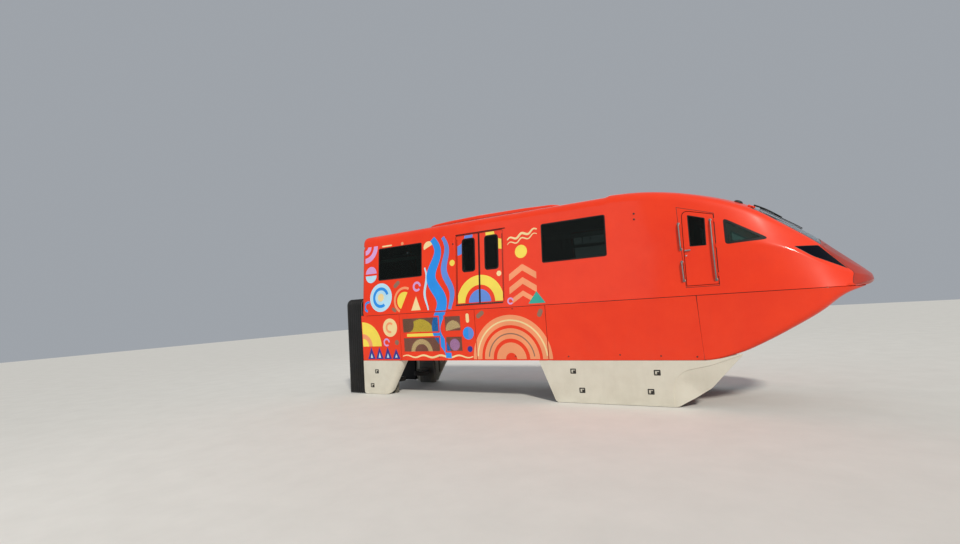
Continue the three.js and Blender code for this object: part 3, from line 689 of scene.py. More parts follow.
sectionColumns = ("x", "bottomZ", "bottomHalf", "waistZ", "waistHalf", "ridgeZ", "ridgeHalf", "cantZ",
        "cantHalf", "crownZ")
bodySections = [
    [0.0, 1.0, 1.305, 2.345, 1.33, 3.4, 1.241, 4.79, 1.125, 4.895],
    [7.7, 1.0, 1.305, 2.345, 1.33, 3.4, 1.241, 4.79, 1.125, 4.895],
    [7.81, 1.0, 1.305, 2.345, 1.33, 3.4, 1.241, 4.822, 1.12, 4.93],
    [8.4, 1.0, 1.305, 2.345, 1.33, 3.4, 1.241, 4.785, 1.11, 4.895],
    [9.0, 1.0, 1.305, 2.345, 1.33, 3.4, 1.241, 4.69, 1.09, 4.805],
    [9.6, 1.0, 1.305, 2.345, 1.33, 3.4, 1.239, 4.53, 1.06, 4.655],
    [10.2, 1.13, 1.3, 2.345, 1.325, 3.39, 1.228, 4.31, 1.0, 4.45],
    [10.7, 1.35, 1.285, 2.345, 1.31, 3.33, 1.2, 4.06, 0.93, 4.21],
    [11.2, 1.62, 1.245, 2.345, 1.275, 3.17, 1.14, 3.68, 0.85, 3.85],
    [11.7, 1.92, 1.16, 2.345, 1.195, 2.86, 1.05, 3.27, 0.77, 3.48],
    [12.1, 2.22, 0.98, 2.352, 1.03, 2.64, 0.9, 2.92, 0.62, 3.09],
    [12.4, 2.325, 0.7, 2.4, 0.77, 2.55, 0.68, 2.7, 0.45, 2.8],
    [12.59, 2.4, 0.35, 2.445, 0.4, 2.51, 0.35, 2.57, 0.23, 2.61],
    [12.64, 2.44, 0.12, 2.465, 0.15, 2.5, 0.13, 2.532, 0.08, 2.555],
    [12.6499, 2.488, 0.004, 2.49, 0.006, 2.495, 0.006, 2.499, 0.004, 2.502],
]
bodyForm = {
    "noseEnd": 12.6498, "sill": 1.0, "waist": 2.345, "roofSplit": 4.5,
    "cabinEnd": 7.8, "wall": 0.08, "seam": 0.01, "ringScale": 3.6,
    "ridgeRadius": (0.42, 0.1), "ridgeTightens": (10.4, 11.6), "cantRadius": 0.26,
    "tuck": (0.0005, 0.15), "tuckGrows": (9.3, 11.2), "endRound": 0.14,
}
lowSteps, ridgeSteps = 16, 10
ringSteps = (lowSteps, 8, ridgeSteps, 18, 14, 16)
ringCount = sum(ringSteps)
waistShare = lowSteps / ringCount


def monotone(t, v, query):
    # smooth curve through a table that adds no bumps of its own
    h = np.diff(t)
    d = np.diff(v) / h
    m = np.zeros(len(v))
    m[0], m[-1] = d[0], d[-1]
    for i in range(1, len(v) - 1):
        if d[i - 1] * d[i] > 0:
            w1, w2 = 2 * h[i] + h[i - 1], h[i] + 2 * h[i - 1]
            m[i] = (w1 + w2) / (w1 / d[i - 1] + w2 / d[i])
    i = np.clip(np.searchsorted(t, query) - 1, 0, len(t) - 2)
    s = (query - t[i]) / h[i]
    return ((2 * s ** 3 - 3 * s ** 2 + 1) * v[i] + (s ** 3 - 2 * s ** 2 + s) * h[i] * m[i]
            + (-2 * s ** 3 + 3 * s ** 2) * v[i + 1] + (s ** 3 - s ** 2) * h[i] * m[i + 1])


def easeBetween(x, low, high):
    s = np.clip((x - low) / (high - low), 0, 1)
    return s * s * (3 - 2 * s)


def bezierCorner(before, corner, after, radius, steps):
    toBefore, toAfter = before - corner, after - corner
    lengthB, lengthA = np.linalg.norm(toBefore), np.linalg.norm(toAfter)
    bend = math.acos(max(-1.0, min(1.0, float(np.dot(toBefore, toAfter) / (lengthA * lengthB))))) / 2
    reach = min(radius / math.tan(max(bend, 1e-3)), lengthB * 0.48, lengthA * 0.48)
    a, b = corner + toBefore / lengthB * reach, corner + toAfter / lengthA * reach
    return cornerCurve(a, corner, b, steps)


def ringOf(row):
    # half of a section, from the bottom edge over the waist to the crown, as (half width, height)
    s = dict(zip(sectionColumns, row))
    f = bodyForm
    waist = np.array((s["waistHalf"], s["waistZ"]))
    ridge = np.array((s["ridgeHalf"], s["ridgeZ"]))
    cant = np.array((s["cantHalf"], s["cantZ"]))
    crown = np.array((0.0, s["crownZ"]))
    w = np.linspace(0, 1, lowSteps + 1) ** 1.7
    height = (s["waistZ"] - s["bottomZ"]) * w
    low = np.stack([s["bottomHalf"] + (s["waistHalf"] - s["bottomHalf"]) * w, s["bottomZ"] + height], 1)
    tuck = f["tuck"][0] + (f["tuck"][1] - f["tuck"][0]) * easeBetween(s["x"], *f["tuckGrows"])
    tuck = min(tuck, 0.5 * (s["waistZ"] - s["bottomZ"]), 0.45 * s["bottomHalf"])
    under = np.clip(tuck - height, 0, tuck)
    low[:, 0] -= tuck - np.sqrt(np.maximum(tuck ** 2 - under ** 2, 0))
    tight = easeBetween(s["x"], *f["ridgeTightens"])
    ridgeRadius = f["ridgeRadius"][0] + (f["ridgeRadius"][1] - f["ridgeRadius"][0]) * tight
    ridgeArc = bezierCorner(waist, ridge, cant, ridgeRadius, ringSteps[2])
    cantArc = bezierCorner(ridge, cant, crown, f["cantRadius"], ringSteps[4])
    rise = np.linspace(0, 1, ringSteps[1] + 1)[1:-1, None]
    flank = np.linspace(0, 1, ringSteps[3] + 1)[1:-1, None]
    over = np.linspace(1, 0, ringSteps[5] + 1)[1:]
    top = np.stack([cantArc[-1][0] * over, cantArc[-1][1] + (crown[1] - cantArc[-1][1])
            * (1 - over ** 2)], 1)
    upper = np.concatenate([waist + (ridgeArc[0] - waist) * rise, ridgeArc,
            ridgeArc[-1] + (cantArc[0] - ridgeArc[-1]) * flank, cantArc, top])
    for _ in range(2):
        upper[9:-1] = 0.25 * upper[8:-2] + 0.5 * upper[9:-1] + 0.25 * upper[10:]
    return np.concatenate([low, upper])


def makeSkin():
    table = np.array(bodySections)
    step = np.linalg.norm(np.diff(table[:, [0, 1, 2, 9]], axis=0), axis=1)
    t = np.concatenate([[0], np.cumsum(step)])
    straight = np.linspace(t[0], t[1], 24)
    nose = np.linspace(t[1], t[-1], 260)[1:]
    query = np.concatenate([straight, nose])
    rows = np.stack([monotone(t, table[:, k], query) for k in range(len(sectionColumns))], 1)
    loose = (rows[:, 0] > 7.9) & (rows[:, 0] < 12.62)
    for _ in range(30):
        average = rows.copy()
        average[1:-1] = 0.25 * rows[:-2] + 0.5 * rows[1:-1] + 0.25 * rows[2:]
        rows[loose] = average[loose]
    rings = np.stack([ringOf(r) for r in rows])
    x = rows[:, 0]
    places = np.concatenate([np.repeat(x[:, None, None], rings.shape[1], 1), -rings[:, :, :1],
            rings[:, :, 1:]], 2)
    along = np.gradient(places, axis=0)
    shades = []
    for part in (slice(0, lowSteps + 1), slice(lowSteps, None)):
        across = np.zeros_like(places)
        across[:, part] = np.gradient(places[:, part], axis=1)
        n = np.cross(along, across)
        shades.append(n / np.maximum(np.linalg.norm(n, axis=2)[:, :, None], 1e-12))
    heights = np.linspace(0.95, 5.0, 406)
    share = np.linspace(0, 1, ringCount + 1)
    shares = np.stack([np.interp(heights, r[:, 1], share) for r in rings])
    return {"x": x, "places": places, "shades": shades, "heights": heights, "shares": shares}


skin = makeSkin()


def column(x):
    # the ring before each X, and the share of the way to the next
    i = np.clip(np.searchsorted(skin["x"], x) - 1, 0, len(skin["x"]) - 2)
    return i, np.clip((x - skin["x"][i]) / (skin["x"][i + 1] - skin["x"][i]), 0, 1)


def between(table, i, fx, j, fj):
    return ((table[i, j] * (1 - fj) + table[i, j + 1] * fj) * (1 - fx)
            + (table[i + 1, j] * (1 - fj) + table[i + 1, j + 1] * fj) * fx)


def skinSurface(out=0.0):
    # (X, share of the ring times ringScale) to a place and a normal; shares run 0 to 2, right to left
    def lay(flat):
        flat = np.asarray(flat, float)
        x, share = flat[:, 0], flat[:, 1] / bodyForm["ringScale"]
        left = share > 1
        t = np.clip(np.where(left, 2 - share, share), 0, 1)
        i, fx = column(x)
        j = np.clip((t * ringCount).astype(int), 0, ringCount - 1)
        spot = i, fx[:, None], j, (t * ringCount - j)[:, None]
        place = between(skin["places"], *spot)
        place[:, 0] = np.minimum(x, skin["x"][-1])
        low, up = (between(s, *spot) for s in skin["shades"])
        normal = np.where((t < waistShare)[:, None], low, up)
        normal /= np.linalg.norm(normal, axis=1)[:, None]
        place = place + normal * out
        place[left, 1] *= -1
        normal[left, 1] *= -1
        return place + (rearX, 0, 0), normal
    return lay


def shareAt(x, z):
    # the share of the ring at a height on the right side
    x, z = np.atleast_1d(x).astype(float), np.atleast_1d(z).astype(float)
    i, fx = column(x)
    heights = skin["heights"]
    step = heights[1] - heights[0]
    k = np.clip(((z - heights[0]) / step).astype(int), 0, len(heights) - 2)
    return between(skin["shares"], i, fx, k, (z - heights[k]) / step)


def acrossTop(loop):
    # skin coordinates mirrored to the left side
    return [(x, 2 * bodyForm["ringScale"] - share) for x, share in reversed(loop)]


def sideLoop(points, step=0.1, left=False):
    # an outline in X and Z on the right side, as skin coordinates
    loop = densify(points, step)
    share = shareAt(loop[:, 0], loop[:, 1])
    if left:
        share = 2 - share
        loop, share = loop[::-1], share[::-1]
    return np.stack([loop[:, 0], share * bodyForm["ringScale"]], 1)


def topPlace(x, y):
    # skin coordinates of a point over the top
    i = int(np.clip(np.searchsorted(skin["x"], x), 1, len(skin["x"]) - 1))
    start = lowSteps + 8
    half = -skin["places"][i, start:, 1]
    share = np.interp(abs(y), half[::-1], (np.arange(start, ringCount + 1) / ringCount)[::-1])
    return x, (share if y < 0 else 2 - share) * bodyForm["ringScale"]


def topLoop(points, step=0.06):
    # an outline in X and Y over the top, as skin coordinates
    return np.array([topPlace(x, y) for x, y in densify(points, step)])


def topPoint(x, y, out=0.0):
    place, normal = skinSurface(out)([topPlace(x, y)])
    return place[0], normal[0]


def onSide(x, z, out=0.0):
    # a point of the right side, and its normal
    share = shareAt(x, z)
    place, normal = skinSurface(out)(np.stack([np.atleast_1d(x).astype(float),
            share * bodyForm["ringScale"]], 1))
    return place[0], normal[0]


def bottomAt(x):
    return np.interp(x, skin["x"], skin["places"][:, 0, 2])


def panel(name, outline, holes, material, out=0.0, pair=False, body="car_body", replaces="",
        slot="red_paint", **more):
    part = panelPart(skinSurface(out), outline, holes, **more)
    return (addPair if pair else addPiece)(name, part, material, body, replaces or "", slot=slot)


def skinPart(out, outline, holes=(), gap=0.08, **more):
    # a plain plate or ring on the right side, its outlines in X and Z
    return panelPart(skinSurface(out), sideLoop(outline, gap), [sideLoop(h, gap) for h in holes],
            **{"step": (9.0, 9.0), **more})[:2]


# upper sides, roof and nose

sideWindows = {"rear": (0.7, 2.34, 3.385, 4.365), "front": (6.07, 7.69, 3.385, 4.365)}
windowCorner = 0.055
doorway = {"x0": 3.52, "x1": 4.98, "z0": 2.5, "z1": 4.39, "gap": 0.009, "corner": 0.05}
cabDoor = {"outline": [(9.352, 2.56), (9.96, 2.56), (9.96, 4.03), (9.352, 4.195)],
        "corners": [0.01, 0.01, 0.006, 0.16], "gap": 0.012, "pane": [(9.47, 3.388), (9.79, 3.38),
        (9.797, 3.972), (9.461, 4.082)], "frame": [(9.33, 2.518), (9.978, 2.518), (9.978, 4.058),
        (9.25, 4.29)]}
quarterWindow = {"outline": [(10.138, 3.924), (10.945, 3.386), (10.148, 3.358)],
        "corners": [0.09, 0.13, 0.07]}
headlight = {"outline": [(11.325, 3.192), (11.745, 3.182), (12.178, 2.676), (11.62, 2.96)],
        "corners": [0.015, 0.03, 0.015, 0.05]}
windshield = {"outline": [(10.66, -0.85), (11.85, -0.7), (11.85, 0.7), (10.66, 0.85)],
        "corners": [0.1, 0.07, 0.07, 0.1], "border": 0.036}


lowerPanels = {"splits": [0.0, 1.5, 4.065, 6.09, 9.51], "lean": 0.05,
        "grilles": [(1.6, 2.895, 1.78, 2.215), (3.08, 3.625, 1.78, 2.215), (1.605, 2.9, 1.23, 1.655),
        (3.085, 3.64, 1.23, 1.655)]}


def flushAt(x=None, z=None):
    # rounded edges everywhere but where the panel runs on into its neighbour
    def radius(flat):
        r = np.full(len(flat), 0.004)
        r[flat[:, 0] < 0.02] = 0.018
        r[np.abs(flat[:, 0] - bodyForm["endRound"]) < 0.002] = bodyForm["endRound"]
        for end in np.atleast_1d([] if x is None else x):
            r[np.abs(flat[:, 0] - end) < 0.002] = 0.0002
        if z is not None:
            level = shareAt(flat[:, 0], np.full(len(flat), z)) * bodyForm["ringScale"]
            near = np.minimum(np.abs(flat[:, 1] - level), np.abs(2 * bodyForm["ringScale"] - flat[:, 1]
                    - level))
            r[near < 0.003] = 0.0002
        return r
    return radius


def endedWall(thickness):
    # a wall that is thick enough at the rear end to carry the rounding there
    return lambda flat: np.where(flat[:, 0] < bodyForm["endRound"] + 0.01, bodyForm["endRound"] + 0.005,
            thickness)


doorPocket = {"x0": 2.6, "x1": 5.9, "skin": 0.009, "liningBack": 0.06, "lining": 0.018}


def doorHole():
    d = doorway
    return roundedLoop(rectangle(*grown((d["x0"], d["x1"], d["z0"], d["z1"]), d["gap"])), d["corner"])


def makeUpperSides():
    # thick walls round the windows, a thin skin and a lining round the doors' pockets
    f, p = bodyForm, doorPocket
    ends = (f["endRound"], p["x0"], p["x1"], f["cabinEnd"] - 0.0002)
    level = (f["waist"] + f["seam"], f["roofSplit"])
    holes = [sideLoop(roundedLoop(rectangle(*box), windowCorner)) for box in sideWindows.values()]
    holes.insert(1, sideLoop(doorHole()))
    sheets = []
    for i in range(3):
        corner = [(ends[i], level[1]), (ends[i], level[1] - 0.004)]
        outline = sideLoop([(ends[i], level[0]), (ends[i + 1], level[0]), (ends[i + 1], level[1])]
                + corner)
        sheets.append(panelPart(skinSurface(), outline, [holes[i]], step=(0.3, 0.07),
                thickness=p["skin"] if i == 1 else endedWall(f["wall"]), rimSteps=4,
                edge=flushAt(ends[1:], f["roofSplit"])))
    addPair("upper_side_{}_skin", sheets, "red", replaces="upper_side_{}", slot="red_paint")
    outline = sideLoop(rectangle(p["x0"], p["x1"], *level))
    panel("door_pocket_{}_lining", outline, [sideLoop(doorHole())], "lining", -p["liningBack"], True,
            slot="lining", thickness=p["lining"], edge=0.002, step=(0.4, 0.1))


def makeRoof():
    f = bodyForm
    edge = sideLoop([(x, f["roofSplit"]) for x in (*np.linspace(f["endRound"], 7.6, 60),
            *np.linspace(7.62, f["cabinEnd"] - 0.0002, 12))], 9.0)
    # a vertex close to each corner keeps the rounded end whole
    edge = np.concatenate([[edge[0] + (0.0, 0.004)], edge])
    outline = np.concatenate([edge, acrossTop(list(edge))])
    panel("roof_skin", outline, [], "red", replaces="roof_panel", thickness=endedWall(f["wall"]),
            rimSteps=4, edge=flushAt(f["cabinEnd"], f["roofSplit"]), step=(0.11, 0.06))


def noseHoles(left):
    loops = [roundedLoop(f["outline"], f["corners"]) for f in (headlight, quarterWindow)]
    loops.append(insetLoop(cabDoor["outline"], cabDoor["corners"], -cabDoor["gap"] - 0.004))
    return [sideLoop(loop, 0.04, left) for loop in loops]


def windshieldLoop(shrink):
    return topLoop(insetLoop(windshield["outline"], windshield["corners"], shrink, 8))


def noseWall(flat):
    # the shell thins towards the tip, where there is no room for it
    return 0.06 - 0.056 * easeBetween(flat[:, 0], 11.8, 12.62)


def makeNose():
    f = bodyForm
    scale = f["ringScale"]
    xs = np.concatenate([np.linspace(f["cabinEnd"], 12.3, 60), np.linspace(12.33, f["noseEnd"], 24)])
    level = f["waist"] + f["seam"]
    shares = np.where(bottomAt(xs) < level, shareAt(xs, np.full(len(xs), level)), 0.0) * scale
    lower = list(zip(xs, shares))
    tip = [(f["noseEnd"], s) for s in np.linspace(0.15, 2 * scale - 0.15, 20)]
    upper = acrossTop(lower)
    holes = noseHoles(False) + noseHoles(True) + [windshieldLoop(0.0)]
    panel("nose_shell_skin", np.array(lower + tip + upper), holes, "red", replaces="nose_shell",
            thickness=noseWall, edge=flushAt(f["cabinEnd"]), step=(0.06, 0.07), loopStep=0.08)
    # lower shell, one half on each side of the underside
    start = lowerPanels["splits"][-1] + f["seam"]
    ends = np.linspace(start, 12.44, 60)
    top = f["waist"] - f["seam"]
    tops = np.minimum(shareAt(ends, np.full(len(ends), top)), waistShare) * scale
    bottom = [(x, 0.0) for x in np.linspace(start + lowerPanels["lean"], 12.44, 60)]
    outline = np.array(bottom + [(x, s) for x, s in zip(reversed(ends), reversed(tops)) if s > 0.004])
    half = panelPart(skinSurface(), outline, [], thickness=0.03, step=(0.06, 0.05), loopStep=0.08)
    addPiece("nose_lower_skin", [half, mirrored(half)], "red", replaces="nose_lower", slot="red_paint")


def makeLowerSides():
    f = bodyForm
    sheets = []
    splits = lowerPanels["splits"]
    for x0, x1 in zip(splits, splits[1:]):
        a = x0 + (f["seam"] if x0 > 0 else 0.018)
        b = x1 - f["seam"]
        foot = b + (lowerPanels["lean"] if x1 == splits[-1] else 0.0)
        low, high = f["sill"] + 0.0006, f["waist"] - f["seam"]
        outline = sideLoop([(a, low), (foot, low), (b, high), (a, high)])
        holes = [sideLoop(roundedLoop(rectangle(*g), 0.03)) for g in lowerPanels["grilles"]
                if x0 < g[0] < x1]
        sheets.append(panelPart(skinSurface(), outline, holes, thickness=0.05, edge=flushAt(),
                step=(0.4, 0.1)))
    addPair("lower_side_{}_skin", sheets, "red", replaces="lower_side_{}", slot="red_paint")


hood = {"seam": [(11.905, 3.205), (11.775, 3.165), (12.195, 2.672), (12.262, 2.606), (12.215, 2.48),
        (12.205, 2.4)], "back": (11.895, 0.7), "out": 0.0022, "bead": 0.0042}


def makeHood():
    h, f = hood, bodyForm
    scale = f["ringScale"]
    line = bezierPath(np.array(h["seam"][1:]), 2)
    right = [tuple(p) for p in sideLoop(line, 9.0)]
    low = [(x, shareAt([x], [max(f["waist"] + f["seam"] + 0.012, float(bottomAt(x)))])[0] * scale
            + 0.01) for x in np.linspace(12.23, f["noseEnd"], 30)]
    side = right + low
    far = acrossTop(side)
    back = [tuple(p) for p in topLoop([(h["back"][0], y) for y in np.linspace(h["back"][1],
            -h["back"][1], 15)])[:-1]]
    outline = np.array(side + far + back)
    # a thin sheet of darker red over the hood: a painted reflection of dark surroundings
    panel("hood_film", outline, [], "hood", h["out"], slot=None, thickness=0.0026, edge=0.0006,
            step=(0.03, 0.05))
    # a dark bead along the hood seam paints the shade of the seam
    bead = [onSide(x, z, 0.0006)[0] for x, z in bezierPath(np.array(h["seam"]), 3)]
    addPair("hood_seam_{}", [tubePart(bead, h["bead"], 8)], "seamShade")


makeCamera()
makeStudio()
makeUpperSides()
makeRoof()
makeNose()
makeLowerSides()
print("body panels done")


# glazing: a rubber frame round each pane

glazing = {"bar": (3.93, 4.02), "sealWidth": 0.026, "proud": 0.003, "sealDepth": 0.022,
        "glassBack": 0.005, "glass": 0.006}


def framedPane(name, points, corners, material, body, replaces, slot, base=0.0, seal=None, steps=5):
    # points are in X and Z on the right side; the pane and its frame follow the body's skin
    g = glazing
    width = g["sealWidth"] if seal is None else seal
    outer, inner = insetLoop(points, corners, 0.0008, steps), insetLoop(points, corners, width, steps)
    wide = insetLoop(points, corners, width - 0.002, steps)
    panel(name + "_seal", sideLoop(outer, 0.05), [sideLoop(inner, 0.05)], "rubber", base + g["proud"],
            True, body, None, None, thickness=g["sealDepth"], edge=0.004, step=(9.0, 9.0))
    panel(name + "_pane", sideLoop(wide, 0.05), [], material, base - g["glassBack"], True, body,
            replaces, slot, thickness=g["glass"], edge=0.0008, step=(0.2, 0.1))


def makeSideGlass():
    for name, box in sideWindows.items():
        bar = rectangle(*grown(box, 0.02)[:2], *glazing["bar"])
        panel(f"window_{name}_{{}}_bar", sideLoop(bar), [], "lining", -0.072, True, slot=None,
                thickness=0.01, edge=0.002, step=(9.0, 0.1))
        framedPane(f"window_{name}_{{}}", rectangle(*box), windowCorner, "tinted", "car_body",
                f"window_{name}_{{}}", "tinted_glass")
    framedPane("quarter_window_{}", quarterWindow["outline"], quarterWindow["corners"], "cabGlass",
            "car_body", "quarter_window_{}", "cab_glass", seal=0.046)
    # windshield: black printed border bonded behind the same glass line
    inner = windshieldLoop(windshield["border"])
    outer = windshieldLoop(0.006)
    panel("windshield_border", outer, [inner], "black", 0.001, thickness=0.016, edge=0.003, slot=None,
            step=(9.0, 9.0))
    panel("windshield_pane", windshieldLoop(windshield["border"] - 0.002), [], "shield", -0.0015,
            replaces="windshield", slot="cab_glass", thickness=0.01, edge=0.0008, step=(0.08, 0.08))


# passenger doors

doorLeaf = {"outer": 0.016, "thickness": 0.036, "meet": 4.25, "gap": 0.004, "outerCorner": 0.05,
        "windows": {"rear": (3.705, 4.125), "front": (4.418, 4.838)}, "windowZ": (3.365, 4.29),
        "windowCorner": 0.1, "seal": 0.034}


def makeDoors():
    d, f = doorLeaf, doorway
    for place in ("rear", "front"):
        rear = place == "rear"
        x0, x1 = (f["x0"], d["meet"] - d["gap"]) if rear else (d["meet"] + d["gap"], f["x1"])
        inner, outer = 0.006, d["outerCorner"]
        corners = [outer, inner, inner, outer] if rear else [inner, outer, outer, inner]
        outline = roundedLoop(rectangle(x0, x1, f["z0"], f["z1"]), corners)
        w0, w1 = d["windows"][place]
        window = rectangle(w0, w1, *d["windowZ"])
        body = f"door_{place}_{{}}"
        panel(f"door_leaf_{place}_{{}}_skin", sideLoop(outline, 0.1),
                [sideLoop(roundedLoop(window, d["windowCorner"], 8), 0.04)], "red", -d["outer"], True,
                body, f"door_leaf_{place}_{{}}", thickness=d["thickness"], edge=0.006, step=(0.3, 0.08))
        framedPane(f"door_{place}_{{}}_window", window, d["windowCorner"], "tinted", body, None,
                "tinted_glass", -d["outer"], d["seal"], 8)
        # soft nose on the meeting edge, and a finger guard strip on the outer edge
        edgeX = x1 + 0.0005 if rear else x0 - 0.0005
        line = [onSide(edgeX, z, -d["outer"] - 0.016)[0] for z in np.linspace(f["z0"] + 0.01,
                f["z1"] - 0.01, 30)]
        addPair(f"door_{place}_{{}}_meeting_seal", tubePart(line, 0.003, 8), "rubber", body)
        near, far = (x1 - 0.019, x1 - 0.001) if rear else (x0 + 0.001, x0 + 0.019)
        nose = sideLoop(rectangle(near, far, f["z0"] + 0.006, f["z1"] - 0.006), 0.1)
        panel(f"door_{place}_{{}}_nose_strip", nose, [], "rubber", -d["outer"] + 0.004, True, body,
                None, None, thickness=0.01, edge=0.003, step=(9.0, 0.1))
        back = x0 + 0.028 if rear else x1 - 0.028
        strip = sideLoop(rectangle(back - 0.006, back + 0.006, f["z0"] + 0.09, f["z1"] - 0.1))
        panel(f"door_{place}_{{}}_trim", strip, [], "rubber", -d["outer"] + 0.0015, True, body, None,
                None, thickness=0.004, edge=0.001, step=(9.0, 0.1))


doorSurround = {"sill": (3.505, 4.945, 2.47, 2.497), "track": (3.52, 5.06, 4.407, 4.422),
        "button": (3.425, 4.185), "slot": (3.385, 3.47, 4.02, 4.35)}


def stripPart(x0, x1, z0, z1, out, thickness, edge=0.003, corner=0.004):
    return skinPart(out, roundedLoop(rectangle(x0, x1, z0, z1), corner, 3), (), 0.12,
            thickness=thickness, edge=edge, step=(0.4, 0.2))


def makeDoorSurround():
    s = doorSurround
    addPair("door_sill_{}", stripPart(*s["sill"], 0.009, 0.018, 0.004), "black")
    ribs = [stripPart(x, x + 0.006, s["sill"][2] + 0.004, s["sill"][3] - 0.004, 0.0105, 0.003, 0.001,
            0.001) for x in np.arange(s["sill"][0] + 0.03, s["sill"][1] - 0.03, 0.06)]
    addPair("door_sill_{}_ribs", ribs, "dull")
    addPair("door_track_cover_{}", stripPart(*s["track"], 0.01, 0.014), "rubber")
    loop = doorHole()
    ring = skinPart(-0.0015, growLoop(loop, -0.0006), [growLoop(loop, -0.0075)], thickness=0.01,
            edge=0.002)
    addPair("doorway_seal_{}", ring, "rubber")
    # slim grab slot and the open button behind the doorway
    x0, x1, z0, z1 = s["slot"]
    loop = roundedLoop(rectangle(x0, x1, z0, z1), 0.03)
    ring = skinPart(0.004, loop, [growLoop(loop, -0.01)], 0.05, thickness=0.008, edge=0.002)
    plate = skinPart(0.0012, growLoop(loop, -0.011), (), 0.05, thickness=0.004, edge=0.001,
            step=(9.0, 0.1))
    addPair("door_call_{}_frame", ring, "red")
    addPair("door_call_{}_plate", plate, "red")
    p, n = onSide(*s["button"], 0.002)
    addPair("door_call_{}_button", facing([(0, 0.022), (0.006, 0.021), (0.008, 0.017), (0.0085, 0.0)],
            p, n, 24), "black")


def around(count, radius):
    # points of a circle, first coordinate first
    return [(radius * cos(a), radius * sin(a)) for a in (2 * pi * k / count for k in range(count))]


def facing(profile, place, normal, steps=20):
    # a lathed part whose axis points along a normal; profile is (height, radius)
    part = lathePart([(0.0, 0.0)] + list(profile), (0, 0, 0), "z", steps)
    n = unit(normal)
    side = unit(np.cross((0, 0, 1.0) if abs(n[2]) < 0.9 else (0, 1.0, 0), n))
    return part[0] @ np.stack([side, np.cross(n, side), n]) + np.asarray(place, float), part[1]


def turnedBox(size, place, normal, turn=0.0, lift=0.0):
    # a box of size (along, up, out) standing on a surface point
    n = unit(normal)
    along = unit(np.cross((0, 0, 1.0), n))
    up = np.cross(n, along)
    c, s = cos(turn), sin(turn)
    basis = np.stack([along * c + up * s, up * c - along * s, n])
    a, b, high = size
    part = boxPart(-a / 2, a / 2, -b / 2, b / 2, lift, lift + high)
    return outward((part[0] @ basis + np.asarray(place, float), part[1]))


# cab doors, hand rails and handles

cabFittings = {"railRadius": 0.0155, "standoff": 0.048, "bodyRails": [((9.272, 3.911), (9.291, 3.344)),
        ((9.287, 3.074), (9.305, 2.671))], "leafRail": ((9.897, 3.915), (9.924, 2.644)),
        "handle": (9.418, 3.312), "lock": (9.382, 3.2)}


def railParts(top, bottom):
    c = cabFittings
    line = [(top[0] + (bottom[0] - top[0]) * t, top[1] + (bottom[1] - top[1]) * t)
            for t in np.linspace(0, 1, 14)]
    rises = [0.0, 0.6] + [1.0] * 12 + [0.6, 0.0]
    path = [onSide(*p, c["standoff"] * k)[0] for p, k in zip(line[:1] + line + line[-1:], rises)]
    smooth = bezierPath(path, 3)
    parts = [tubePart(smooth, c["railRadius"], 12)]
    for p in (line[0], line[-1]):
        place, normal = onSide(*p, 0.0)
        parts.append(facing([(0, 0.03), (0.004, 0.03), (0.007, 0.024), (0.008, 0.014)], place, normal,
                24))
    return parts


def bezierPath(points, passes):
    # corner-cutting smooth curve that keeps its ends
    points = np.asarray(points, float)
    for _ in range(passes):
        cut = [points[0]]
        for a, b in zip(points, points[1:]):
            cut += [a * 0.75 + b * 0.25, a * 0.25 + b * 0.75]
        points = np.array(cut + [points[-1]])
    return points


def makeCabDoors():
    c = cabDoor
    outline = insetLoop(c["outline"], c["corners"], 0.005)
    pane = roundedLoop(c["pane"], 0.022, 4)
    panel("cab_door_{}_skin", sideLoop(outline, 0.08), [sideLoop(pane, 0.05)], "red", -0.002, True,
            "cab_leaf_{}", "cab_door_{}", thickness=0.04, edge=0.005, step=(0.1, 0.08))
    framedPane("cab_door_{}_window", c["pane"], 0.022, "tinted", "cab_leaf_{}", None, "tinted_glass",
            -0.002, 0.014)
    seal = [insetLoop(c["outline"], c["corners"], d) for d in (-c["gap"] + 0.0025, -0.0045)]
    addPair("cab_doorway_{}_seal", skinPart(-0.012, seal[0], seal[1:], thickness=0.03, edge=0.002),
            "rubber")
    # raised frame line round the doorway, in a dark red that paints the shade of a groove
    wide, narrow = (insetLoop(c["frame"], [0.006] * 4, d) for d in (0.0, 0.0085))
    addPair("cab_doorway_{}_frame_line", skinPart(0.0012, wide, [narrow], thickness=0.003, edge=0.001),
            "seamShade")
    f = cabFittings
    addPair("cab_grab_rails_{}", [part for ends in f["bodyRails"] for part in railParts(*ends)], "dull")
    addPair("cab_door_{}_rail", railParts(*f["leafRail"]), "dull", "cab_leaf_{}")
    place, normal = onSide(*f["handle"], 0.0)
    lever = [turnedBox((0.115, 0.03, 0.008), place, normal, 0.06, 0.0),
            facing([(0, 0.017), (0.02, 0.015), (0.024, 0.012)], onSide(f["handle"][0] - 0.04,
            f["handle"][1])[0], normal, 20), turnedBox((0.105, 0.018, 0.012), place, normal, 0.06,
            0.022)]
    addPair("cab_door_{}_handle", lever, "steel", "cab_leaf_{}", bevel=0.003)
    place, normal = onSide(*f["lock"], 0.0)
    lock = [facing([(0, 0.017), (0.004, 0.017), (0.006, 0.014)], place, normal, 24),
            turnedBox((0.003, 0.014, 0.002), place, normal, 0.2, 0.006)]
    addPair("cab_door_{}_lock", lock, "steel", "cab_leaf_{}")
    hinges = [turnedBox((0.018, 0.085, 0.007), *onSide(c["outline"][1][0] + 0.01, z, 0.004))
            for z in (2.75, 3.35, 3.9)]
    addPair("cab_door_{}_hinges", hinges, "red", bevel=0.003)


# headlights: a dark cover over a bucket with three lamps

lampUnit = {"coverBack": 0.003, "cover": 0.006, "depth": 0.07,
        "lamps": [(11.64, 3.075, 0.05), (11.79, 2.975, 0.046), (11.915, 2.862, 0.04)]}


